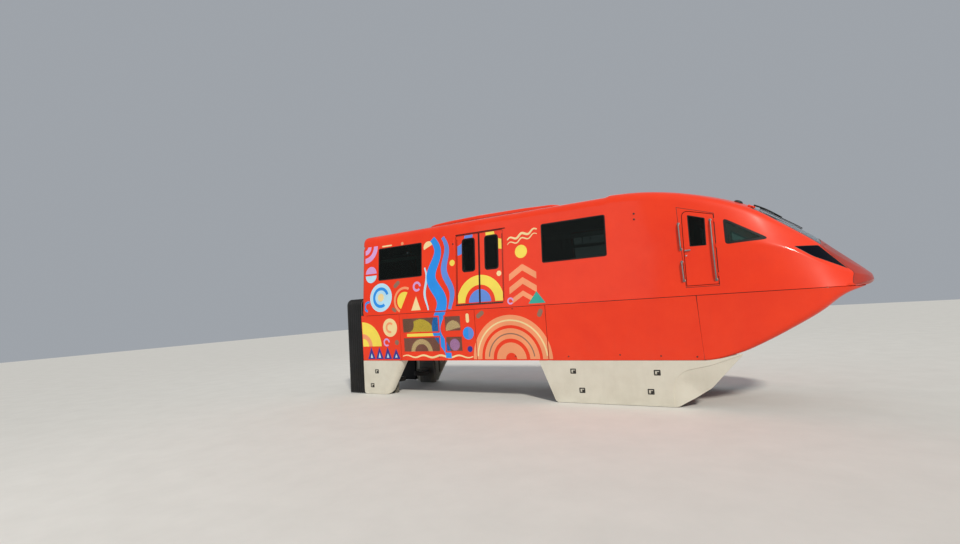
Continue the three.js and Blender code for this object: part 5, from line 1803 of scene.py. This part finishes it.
def makeLining():
    f = bodyForm
    level = (2.52, f["roofSplit"] - 0.01)
    spans = {"rear": (liner["x"][0], doorPocket["x0"]), "front": (doorPocket["x1"], liner["x"][1])}
    walls = []
    for name, (x0, x1) in spans.items():
        hole = roundedLoop(rectangle(*grown(sideWindows[name], 0.02)), windowCorner)
        walls.append(skinPart(-liner["gap"], rectangle(x0, x1, *level), [hole], 0.1,
                thickness=liner["thickness"], edge=0.001, step=(0.4, 0.1)))
    addPair("wall_lining_{}", walls, "lining")
    edge = shareAt([3.0], [f["roofSplit"] - 0.008])[0] * f["ringScale"]
    ceiling = rectangle(*liner["ceilingX"], edge, 2 * f["ringScale"] - edge)
    part = panelPart(skinSurface(-liner["gap"]), ceiling, [], thickness=liner["thickness"], edge=0.001,
            step=(0.3, 0.12))[:2]
    addPiece("ceiling_lining", part, "lining")
    # floor covering, rails, poles and the light strips
    parts = [alongBody(boxPart(0.115, 8.94, -1.19, 1.19, 2.5004, 2.506)),
            alongBody(boxPart(9.01, 10.6, -1.14, 1.14, 2.5004, 2.506))]
    addPiece("floor_covering", parts, "floorVinyl", bevel=0.001)
    r = saloon
    rails = [tubePart([(x + rearX, y, r["railZ"]) for x in np.linspace(0.35, 8.7, 12)], r["rail"])
            for y in r["railY"]]
    rails += [tubePart([(x + rearX, y, z) for z in (r["railZ"], r["hangerZ"])], r["hanger"], 8)
            for y in r["railY"] for x in np.arange(0.6, 8.7, 1.35)]
    rails += [tubePart([(x + rearX, y, z) for z in (r["floorZ"], r["railZ"])], r["post"], 12)
            for x in r["posts"] for y in r["railY"]]
    addPiece("saloon_rails", rails, "steel")
    straps = []
    wide, deep, low, high = r["strap"]
    for y in r["railY"]:
        for x in np.arange(0.95, 8.5, 0.62):
            loop = [(x + rearX, y + dy, r["loopZ"] + dz) for dz, dy in around(18, r["loop"])]
            straps.append(ringTube(loop, r["loopRod"]))
            straps.append(outward(alongBody(boxPart(x - wide, x + wide, y - deep, y + deep, low,
                    high))))
    addPiece("saloon_straps", straps, "black")
    x0, x1, low, high = r["lights"]
    strips = [alongBody(boxPart(x0, x1, y - 0.07, y + 0.07, low, high)) for y in r["lightY"]]
    addPiece("ceiling_lights", strips, "lens", bevel=0.006)


# seats: crowned cushions with sewn channels

def cushionPart(low, high, up=2, along=0, seams=(), crown=0.16, power=7.0, count=(40, 14)):
    low, high = np.array(low, float), np.array(high, float)
    centre, half = (low + high) / 2, (high - low) / 2
    n = [count[1]] * 3
    n[along] = count[0]
    verts, index, faces = [], {}, []

    def spread(k, total):
        # from -1 to 1, closer together near the ends
        return 0.65 * (2 * k / total - 1) - 0.35 * cos(pi * k / total)

    def vertex(p):
        key = tuple(np.round(p, 6))
        if key not in index:
            index[key] = len(verts)
            verts.append(p)
        return index[key]

    for axis in range(3):
        u, v = [a for a in range(3) if a != axis]
        for side in (-1, 1):
            for i in range(n[u]):
                for j in range(n[v]):
                    quad = []
                    for di, dj in ((0, 0), (1, 0), (1, 1), (0, 1)):
                        p = np.zeros(3)
                        p[axis] = side
                        p[u], p[v] = spread(i + di, n[u]), spread(j + dj, n[v])
                        quad.append(vertex(p))
                    faces.append(tuple(quad) if side > 0 else tuple(reversed(quad)))
    verts = np.array(verts)
    size = np.sum(np.abs(verts) ** power, 1) ** (1 / power)
    shaped = verts / size[:, None]
    flat = [a for a in range(3) if a != up]
    bulge = (1 - shaped[:, flat[0]] ** 4) * (1 - shaped[:, flat[1]] ** 2)
    top = np.maximum(shaped[:, up], 0)
    shaped[:, up] += crown * bulge * top - 0.04 * top
    places = centre + shaped * half
    for seam in seams:
        near = np.exp(-((places[:, along] - seam) / 0.012) ** 2)
        places[:, up] -= near * np.maximum(shaped[:, up], 0) * half[up] * 0.42
    return outward((places, faces))


benchSpans = {"rear": (0.3, 2.7), "front": (5.76, 7.7)}


def makeBenches():
    for name, (x0, x1) in benchSpans.items():
        seats = int(round((x1 - x0) / 0.48))
        seams = [rearX + x0 + (x1 - x0) * k / seats for k in range(1, seats)]
        seat = cushionPart((x0 + rearX + 0.004, -1.055, 2.86), (x1 + rearX - 0.004, -0.69, 2.945),
                seams=seams, count=(seats * 12, 12))
        tall = cushionPart((x0 + rearX + 0.004, -1.132, 2.955), (x1 + rearX - 0.004, -1.052, 3.345),
                up=1, seams=seams, count=(seats * 12, 12))
        for piece in addPair(f"bench_{name}_{{}}_seat", seat, "seat", replaces=f"bench_{name}_{{}}",
                slot="seat_fabric", sharp=1.2):
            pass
        for piece in addPair(f"bench_{name}_{{}}_back", tall, "seat", slot="seat_fabric", sharp=1.2):
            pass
        base = [boxPart(x0 + 0.01, x1 - 0.01, -1.136, -0.76, 2.515, 2.852),
                boxPart(x0 + 0.002, x1 - 0.002, -1.136, -0.7, 2.852, 2.872)]
        base += [boxPart(x, x + 0.012, -1.136, -1.04, 2.88, 3.33) for x in (x0 - 0.004, x1 - 0.008)]
        addPair(f"bench_{name}_{{}}_base", [alongBody(b) for b in base], "lining", bevel=0.006)


def makeCab():
    paint("cab_partition", "lining")
    pane = [alongBody(boxPart(8.969, 8.977, -0.995, -0.485, 3.355, 4.245))]
    addPair("partition_pane_{}", pane, "cabGlass")
    # desk with a hooded instrument panel, screens, buttons and lever
    desk = np.array([(10.62, 2.503), (11.0, 2.503), (11.33, 2.9), (11.33, 3.05), (11.0, 3.245),
            (10.8, 3.262), (10.56, 3.195), (10.505, 3.125), (10.62, 3.08)])
    addPiece("desk_shell", [prismPart(roundedLoop(desk, 0.02, 3), -0.855, 0.855)], "black", "car_body",
            "cab_desk", bevel=0.004)
    up = np.array((-0.24, 0, 1.0))
    screens = [turnedSlab((10.665 + rearX, y, 3.222), up, (0.24, 0.15, 0.012))
            for y in (-0.38, 0.0, 0.38)]
    addPiece("desk_screens", screens, "lampCover", bevel=0.003)
    keys = [facing([(0, 0.011), (0.01, 0.01), (0.012, 0.006)], (10.578 + rearX, y, 3.205), up, 14)
            for y in np.arange(-0.7, 0.71, 0.055)]
    addPiece("desk_buttons", keys, "dull")
    lever = [facing([(0, 0.045), (0.012, 0.042), (0.016, 0.016), (0.1, 0.011), (0.115, 0.024),
            (0.15, 0.026), (0.17, 0.016)], (10.6 + rearX, 0.56, 3.205), up, 20)]
    addPiece("desk_lever", lever, "steel")
    seatX = 10.07 + rearX
    seat = cushionPart((9.865 + rearX, -0.245, 2.885), (10.355 + rearX, 0.245, 2.995), count=(18, 16),
            crown=0.25)
    back = cushionPart((9.775 + rearX, -0.235, 2.995), (9.895 + rearX, 0.235, 3.64), up=0, along=2,
            seams=(3.2, 3.42), count=(26, 14))
    for name, part in (("driver_seat_pad", seat), ("driver_seat_back", back)):
        piece = addPiece(name, part, "seat", "car_body", "driver_seat" if name.endswith("pad") else (),
                "seat_fabric", sharp=1.2)
    post = [lathePart([(2.503, 0.0), (2.503, 0.17), (2.52, 0.17), (2.53, 0.06), (2.7, 0.055),
            (2.71, 0.045), (2.88, 0.045), (2.88, 0.0)], (seatX, 0, 0), "z", 24),
            boxPart(seatX - 0.17, seatX + 0.21, -0.19, 0.19, 2.862, 2.884)]
    addPiece("driver_seat_post", post, "dull", bevel=0.003)


def prismPart(loop, y0, y1):
    # an outline in X and Z drawn out along Y
    loop = np.asarray(loop, float)
    count = len(loop)
    verts = [(x + rearX, y, z) for y in (y0, y1) for x, z in loop]
    faces = [(i, (i + 1) % count, count + (i + 1) % count, count + i) for i in range(count)]
    faces += [tuple(reversed(range(count))), tuple(count + i for i in range(count))]
    return outward((np.array(verts), faces))


def turnedSlab(place, normal, size):
    n, side = unit(normal), np.array((0, 1.0, 0))
    ahead = np.cross(side, n)
    a, b, c = size
    part = boxPart(-a / 2, a / 2, -b / 2, b / 2, -c / 2, c / 2)
    return outward((part[0] @ np.stack([side, ahead, n]) + np.asarray(place), part[1]))


def paint(node, material):
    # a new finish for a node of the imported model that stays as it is
    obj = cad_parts[node]
    for holder in obj.material_slots:
        holder.material = mats[material]


# running gear

bogies = {"front": {"pivot": 7.85, "half": 1.36, "axles": {"load_axle_front_1": -0.72,
        "load_axle_front_2": 0.72}, "guides": (-1.09, 1.09), "springs": (-0.23, 0.23)},
        "rear": {"pivot": 0.72, "half": 0.56, "axles": {"load_axle_rear": 0.0}, "guides": (-0.4, 0.4),
        "springs": (-0.4, 0.4)}}
axleBodies = {"load_axle_front_1": "axle_front_1", "load_axle_front_2": "axle_front_2",
        "load_axle_rear": "axle_rear"}
tyreForm = {"radius": 0.45, "inner": 0.052, "width": 0.246, "z": 1.9, "shaft": 0.06, "shaftHalf": 0.628}
guideForm = {"radius": 0.26, "half": 0.07, "y": 0.625, "z": 1.2, "bore": 0.041}
steadyForm = {"radius": 0.25, "half": 0.065, "y": 0.612, "z": 0.35, "bore": 0.041}


def bothEnds(half, shut=False):
    # a profile and its mirror image, brought back to its start where it is shut
    whole = half + [(-a, b) for a, b in reversed(half)]
    return whole + whole[:1] if shut else whole


def tyreProfile():
    t = tyreForm
    y0, y1 = t["inner"], t["inner"] + t["width"]
    middle = (y0 + y1) / 2
    half = t["width"] / 2
    r = t["radius"]
    side = [(half * 0.8, 0.262), (half * 0.9, 0.275), (half * 0.99, 0.33), (half * 1.0, 0.37),
            (half * 0.93, 0.415), (half * 0.86, 0.4385), (half * 0.8, r * 0.995)]
    tread = []
    for k in (0.56, 0.19):
        tread += [(half * (k + 0.055), r), (half * (k + 0.05), r - 0.012),
                (half * (k - 0.03), r - 0.012), (half * (k - 0.035), r)]
    right = side + tread
    loop = [(middle + a, b) for a, b in right] + [(middle - a, b) for a, b in reversed(right)]
    return loop + [loop[0]]


def makeAxles():
    t = tyreForm
    for name, bogie in bogies.items():
        for node, offset in bogie["axles"].items():
            centre = (bogie["pivot"] + offset + rearX, 0, t["z"])
            body = axleBodies[node]
            tyres, rims, bolts = [], [], []
            for sign in (-1, 1):
                tyres.append(lathePart(np.array(tyreProfile()) * (sign, 1), centre, "y", 64))
                y0, y1 = t["inner"], t["inner"] + t["width"]
                rim = [(y0 + 0.022, 0.264), (y0 + 0.03, 0.262), (y0 + 0.05, 0.235), (y1 - 0.11, 0.225),
                        (y1 - 0.085, 0.13), (y1 - 0.04, 0.11), (y1 - 0.02, 0.075), (y1 - 0.018, 0.0605),
                        (y1 - 0.12, 0.0605), (y1 - 0.125, 0.2), (y0 + 0.06, 0.215), (y0 + 0.02, 0.25),
                        (y0 + 0.022, 0.264)]

                ring = [(y1 - 0.024, 0.236), (y1 - 0.018, 0.268), (y1 - 0.026, 0.27),
                        (y1 - 0.115, 0.236), (y1 - 0.115, 0.228), (y1 - 0.04, 0.224),
                        (y1 - 0.024, 0.236)]
                rims += [lathePart(np.array(shape) * (sign, 1), centre, "y") for shape in (rim, ring)]
                for dx, dz in around(10, 0.17):
                    place = np.array(centre) + (dx, sign * (y1 - 0.1), dz)
                    bolts.append(facing([(0, 0.014), (0.03, 0.014), (0.034, 0.01)], place, (0, sign, 0),
                            6))
            end = -t["shaftHalf"]
            shaft = bothEnds([(end, 0.0), (end, t["shaft"] - 0.004), (end + 0.004, t["shaft"])])
            rims.append(lathePart(shaft, centre, "y", 32))
            addPiece(f"{node}_tyres", tyres, "tyre", body, node, "tyre_rubber", sharp=0.6)
            addPiece(f"{node}_rims", rims, "dull", body)
            addPiece(f"{node}_bolts", bolts, "steel", body)


def sideWheelParts(form, x, side=-1):
    centre = (x, side * form["y"], form["z"])
    h, r, bore = form["half"], form["radius"], form["bore"]
    tyre = bothEnds([(-h + 0.006, r * 0.78), (-h, r * 0.83), (-h + 0.004, r * 0.95), (-h + 0.016, r),
            (-0.01, r), (-0.006, r - 0.006)], True)
    hub = bothEnds([(-h * 0.95, bore), (-h * 0.95, bore + 0.03), (-h * 0.55, bore + 0.036),
            (-h * 0.32, r * 0.48), (-h * 0.34, r * 0.68), (-h * 0.88, r * 0.745),
            (-h * 0.9, r * 0.779)], True)
    bolts = []
    for dx, dy in around(8, r * 0.57):
        for up in (-1, 1):
            place = np.array(centre) + (dx, dy, up * h * 0.31)
            bolts.append(facing([(0, 0.01), (0.012, 0.01), (0.014, 0.007)], place, (0, 0, up), 6))
    return lathePart(tyre, centre, "z", 56), lathePart(hub, centre, "z", 40), bolts


def makeSideWheels():
    for name, bogie in bogies.items():
        wheels = [(f"guide_wheel_{name}_{{}}_{i + 1}", f"guide_{name}_{{}}_{i + 1}", guideForm, x)
                for i, x in enumerate(bogie["guides"])]
        wheels.append((f"stabiliser_{name}_{{}}", f"steady_{name}_{{}}", steadyForm, 0.0))
        for node, body, form, x in wheels:
            tyre, hub, bolts = sideWheelParts(form, bogie["pivot"] + x + rearX)
            addPair(node + "_tread", tyre, "tyre", body, node, slot="tyre_rubber")
            addPair(node + "_hub", [hub] + bolts, "dull", body)


def makeBogieFrames():
    for name, bogie in bogies.items():
        px, half = bogie["pivot"], bogie["half"]
        body = f"bogie_{name}"
        paint(f"bogie_frame_{name}", "frame")
        beams, bolts, bags, discs = [], [], [], []
        # capping plates, gussets and weld flanges on the side beams
        for z in (1.772, 2.012):
            if z < 1.9 or name == "front":
                beams.append(boxPart(px - half + 0.01, px + half - 0.01, -0.658, -0.512, z, z + 0.016))
        for x in (px - 0.292, px + 0.28):
            beams.append(boxPart(x, x + 0.012, -1.006, -0.895, 0.02, 1.86))
        for z in (0.62, 1.05, 1.48):
            beams.append(boxPart(px - 0.275, px + 0.275, -1.008, -0.998, z, z + 0.012))
        for x in np.linspace(px - 0.24, px + 0.24, 4):
            for z in (1.7, 1.62, 0.1):
                bolts.append(facing([(0, 0.018), (0.014, 0.018), (0.018, 0.012)], (x + rearX, -1.0, z),
                        (0, -1, 0), 6))
        for x in bogie["springs"]:
            centre = (px + x + rearX, -0.7, 0)
            profile = [(1.862, 0.0), (1.862, 0.156), (1.878, 0.158)]
            for k in range(4):
                z = 1.89 + k * 0.085
                profile += [(z, 0.14), (z + 0.022, 0.158), (z + 0.045, 0.164), (z + 0.066, 0.157),
                        (z + 0.082, 0.14)]
            profile += [(2.236, 0.15), (2.25, 0.15), (2.25, 0.0)]
            bags.append(lathePart(profile, centre, "z", 40))
            bolts += [facing([(0, 0.01), (0.008, 0.01)], (centre[0] + dx, dy - 0.7, 2.25), (0, 0, 1), 6)
                    for dx, dy in around(6, 0.12)]
        for x in bogie["guides"]:
            centre = (px + x + rearX, -guideForm["y"], 0)
            top = guideForm["z"] + guideForm["half"] + 0.012
            discs.append(lathePart([(top - 0.002, 0.039), (top - 0.002, 0.078), (top + 0.02, 0.082),
                    (top + 0.034, 0.082), (top + 0.036, 0.0765), (1.772, 0.0765), (1.776, 0.1),
                    (1.79, 0.1), (1.79, 0.0), (top + 0.03, 0.0)], centre, "z", 28))
            low = guideForm["z"] - guideForm["half"] - 0.008
            discs.append(lathePart([(low, 0.0), (low, 0.052), (low - 0.01, 0.052), (low - 0.022, 0.04),
                    (low - 0.022, 0.0)], centre, "z", 24))
        for offset in bogie["axles"].values():
            x = px + offset
            centre = (x + rearX, 0, tyreForm["z"])
            discs.append(lathePart([(-0.662, 0.0), (-0.662, 0.1), (-0.652, 0.112), (-0.64, 0.112),
                    (-0.636, 0.07), (-0.632, 0.07), (-0.632, 0.0)], centre, "y", 36))
            bolts += [facing([(0, 0.012), (0.014, 0.012), (0.016, 0.008)],
                    (centre[0] + dx, -0.66, tyreForm["z"] + dz), (0, -1, 0), 6) for dx,
                    dz in around(6, 0.082)]
        here = [alongBody(b) for b in beams]
        addPair(f"{body}_{{}}_plates", here, "frame", body, bevel=0.003)
        addPair(f"{body}_{{}}_bolts", bolts, "dull", body)
        addPair(f"{body}_{{}}_air_springs", bags, "rubber", body, sharp=0.9)
        addPair(f"{body}_{{}}_bearings", discs, "case", body)


def makeUnderside():
    paint("floor_frame", "frame")
    paint("equipment_box", "case")
    covers, slats, handles = [], [], []
    for x0, x1 in ((1.8, 2.7), (2.74, 3.64), (3.68, 4.58), (4.62, 5.5)):
        covers.append(alongBody(boxPart(x0, x1, -1.07, -1.06, 1.2, 2.14)))
        for z in np.arange(1.72, 2.05, 0.042):
            slats.append(alongBody(boxPart(x0 + 0.12, x1 - 0.12, -1.082, -1.068, z, z + 0.014)))
        for x in (x0 + 0.1, x1 - 0.1):
            handles.append(facing([(0, 0.022), (0.01, 0.02), (0.014, 0.01)], (x + rearX, -1.07, 1.32),
                    (0, -1, 0), 16))
            handles.append(turnedBox((0.012, 0.05, 0.012), (x + rearX, -1.07, 1.32), (0, -1, 0), 0.4,
                    0.01))
    addPair("case_{}_doors", covers, "case", bevel=0.004)
    addPair("case_{}_louvres", slats, "dull", bevel=0.003)
    addPair("case_{}_latches", handles, "steel", bevel=0.001)
    pipes = []
    for y, z, r in ((-0.3, 2.4, 0.022), (-0.37, 2.404, 0.016), (0.34, 2.4, 0.026)):
        pipes.append(tubePart([(x + rearX, y, z) for x in np.linspace(0.35, 10.2, 24)], r, 12))
        for x in np.arange(0.8, 10.0, 0.9):
            pipes.append(alongBody(boxPart(x, x + 0.03, y - r - 0.012, y + r + 0.012, z - 0.004, 2.44)))
    addPiece("floor_pipes", pipes, "dull")
    # drawbar with its round, bolted head
    z = 2.14
    bar = [lathePart([(-0.55, 0.0), (-0.55, 0.055), (-0.53, 0.066), (-0.3, 0.066), (-0.28, 0.078),
            (-0.16, 0.078), (-0.14, 0.062), (0.2, 0.062), (0.22, 0.0)], (rearX, 0, z), "x", 32),
            alongBody(boxPart(0.11, 0.24, -0.2, 0.2, z + 0.05, 2.425)),
            alongBody(boxPart(0.12, 0.23, -0.075, 0.075, z - 0.075, z + 0.06))]
    head = [lathePart([(-0.6, 0.0), (-0.6, 0.105), (-0.592, 0.118), (-0.57, 0.118), (-0.56, 0.1),
            (-0.545, 0.07), (-0.53, 0.062), (-0.53, 0.0)], (rearX, 0, z), "x", 36)]
    head += [facing([(0, 0.01), (0.01, 0.01), (0.012, 0.007)], (-0.57 + rearX, dy, z + dz), (1, 0, 0),
            6) for dy, dz in around(8, 0.097)]
    addPiece("drawbar_bar", bar, "frame", "car_body", "drawbar", bevel=0.004)
    addPiece("drawbar_head", head, "dull")


# coloured wrap: plain shapes as thin films on the aft half of each side

filmForm = {"out": 0.0013, "layer": 0.0009, "thickness": 0.0011, "edge": 0.0003}


def wrapFields():
    # where films may lie: (label, body, base height, rectangles in, rectangles out)
    d, s = doorLeaf, 0.01
    lower = [(a + 0.012, b - 0.012, 1.016, 2.328) for a, b in zip(lowerPanels["splits"],
            lowerPanels["splits"][1:])]
    cut = [grown(g, 0.02) for g in lowerPanels["grilles"]]
    doorBox = (doorway["x0"] - 0.025, doorway["x1"] + 0.025, 2.462, 4.43)
    callBox = (3.34, 3.5, 3.99, 4.39)
    upperCut = [grown(box, s) for box in sideWindows.values()] + [doorBox, callBox]
    fields = [("car", "car_body", 0.0, [(0.16, 7.7, 2.366, 4.47)] + lower, upperCut + cut)]
    for place in ("rear", "front"):
        x0, x1 = (doorway["x0"] + 0.042, d["meet"] - 0.026) if place == "rear" else (d["meet"] + 0.026,
                doorway["x1"] - 0.042)
        w0, w1 = d["windows"][place]
        window = grown((w0, w1, *d["windowZ"]), 0.006)
        fields.append((f"door_{place}", f"door_{place}_{{}}", -d["outer"],
                [(x0, x1, doorway["z0"] + 0.014, doorway["z1"] - 0.014)], [window]))
    return fields


def makeWrap():
    f = filmForm
    for label, body, base, inside, outside in wrapFields():
        allowed = [sideLoop(rectangle(*r), 0.3) for r in inside]
        barred = [sideLoop(roundedLoop(rectangle(*r), 0.02), 0.3) for r in outside]
        found = {}
        for colour, layer, loop in wrapShapes:
            loop = np.array(loop)
            low, high = loop.min(0), loop.max(0)
            if not any(r[0] < high[0] and r[1] > low[0] and r[2] < high[1] and r[3] > low[1]
                    for r in inside):
                continue
            part = panelPart(skinSurface(base + f["out"] + layer * f["layer"]), sideLoop(loop, 0.06),
                    [], thickness=f["thickness"], edge=f["edge"], step=(0.4, 0.1), rimSteps=1,
                    fields=(allowed, barred))
            if part is not None:
                found.setdefault(colour, []).append(part)
        for colour, parts in found.items():
            addPair(f"wrap_{label}_{colour}_{{}}", parts, colour, body)


makeSeamBacking()
makeEndWall()
makeLining()
makeBenches()
makeCab()
makeAxles()
makeSideWheels()
makeBogieFrames()
makeUnderside()
print("interior and running gear done")
makeWrap()
print("wrap done")


# floor

def makeFloor():
    material = surfaceMaterial("studioFloor", "d9d7d2", second="d3d1cc", rough=(0.75, 0.85), dust=0.0,
            grain=(5.0, 0.1), bump=0.02)
    verts = [(x, y, 0) for x, y in rectangle(-60, 60, -60, 60)]
    mesh = bpy.data.meshes.new("studio_floor")
    mesh.from_pydata(verts, [], [(0, 1, 2, 3)])
    mesh.materials.append(material)
    floor = addObject("studio_floor", mesh)


makeFloor()
scene.view_settings.view_transform = "Standard"
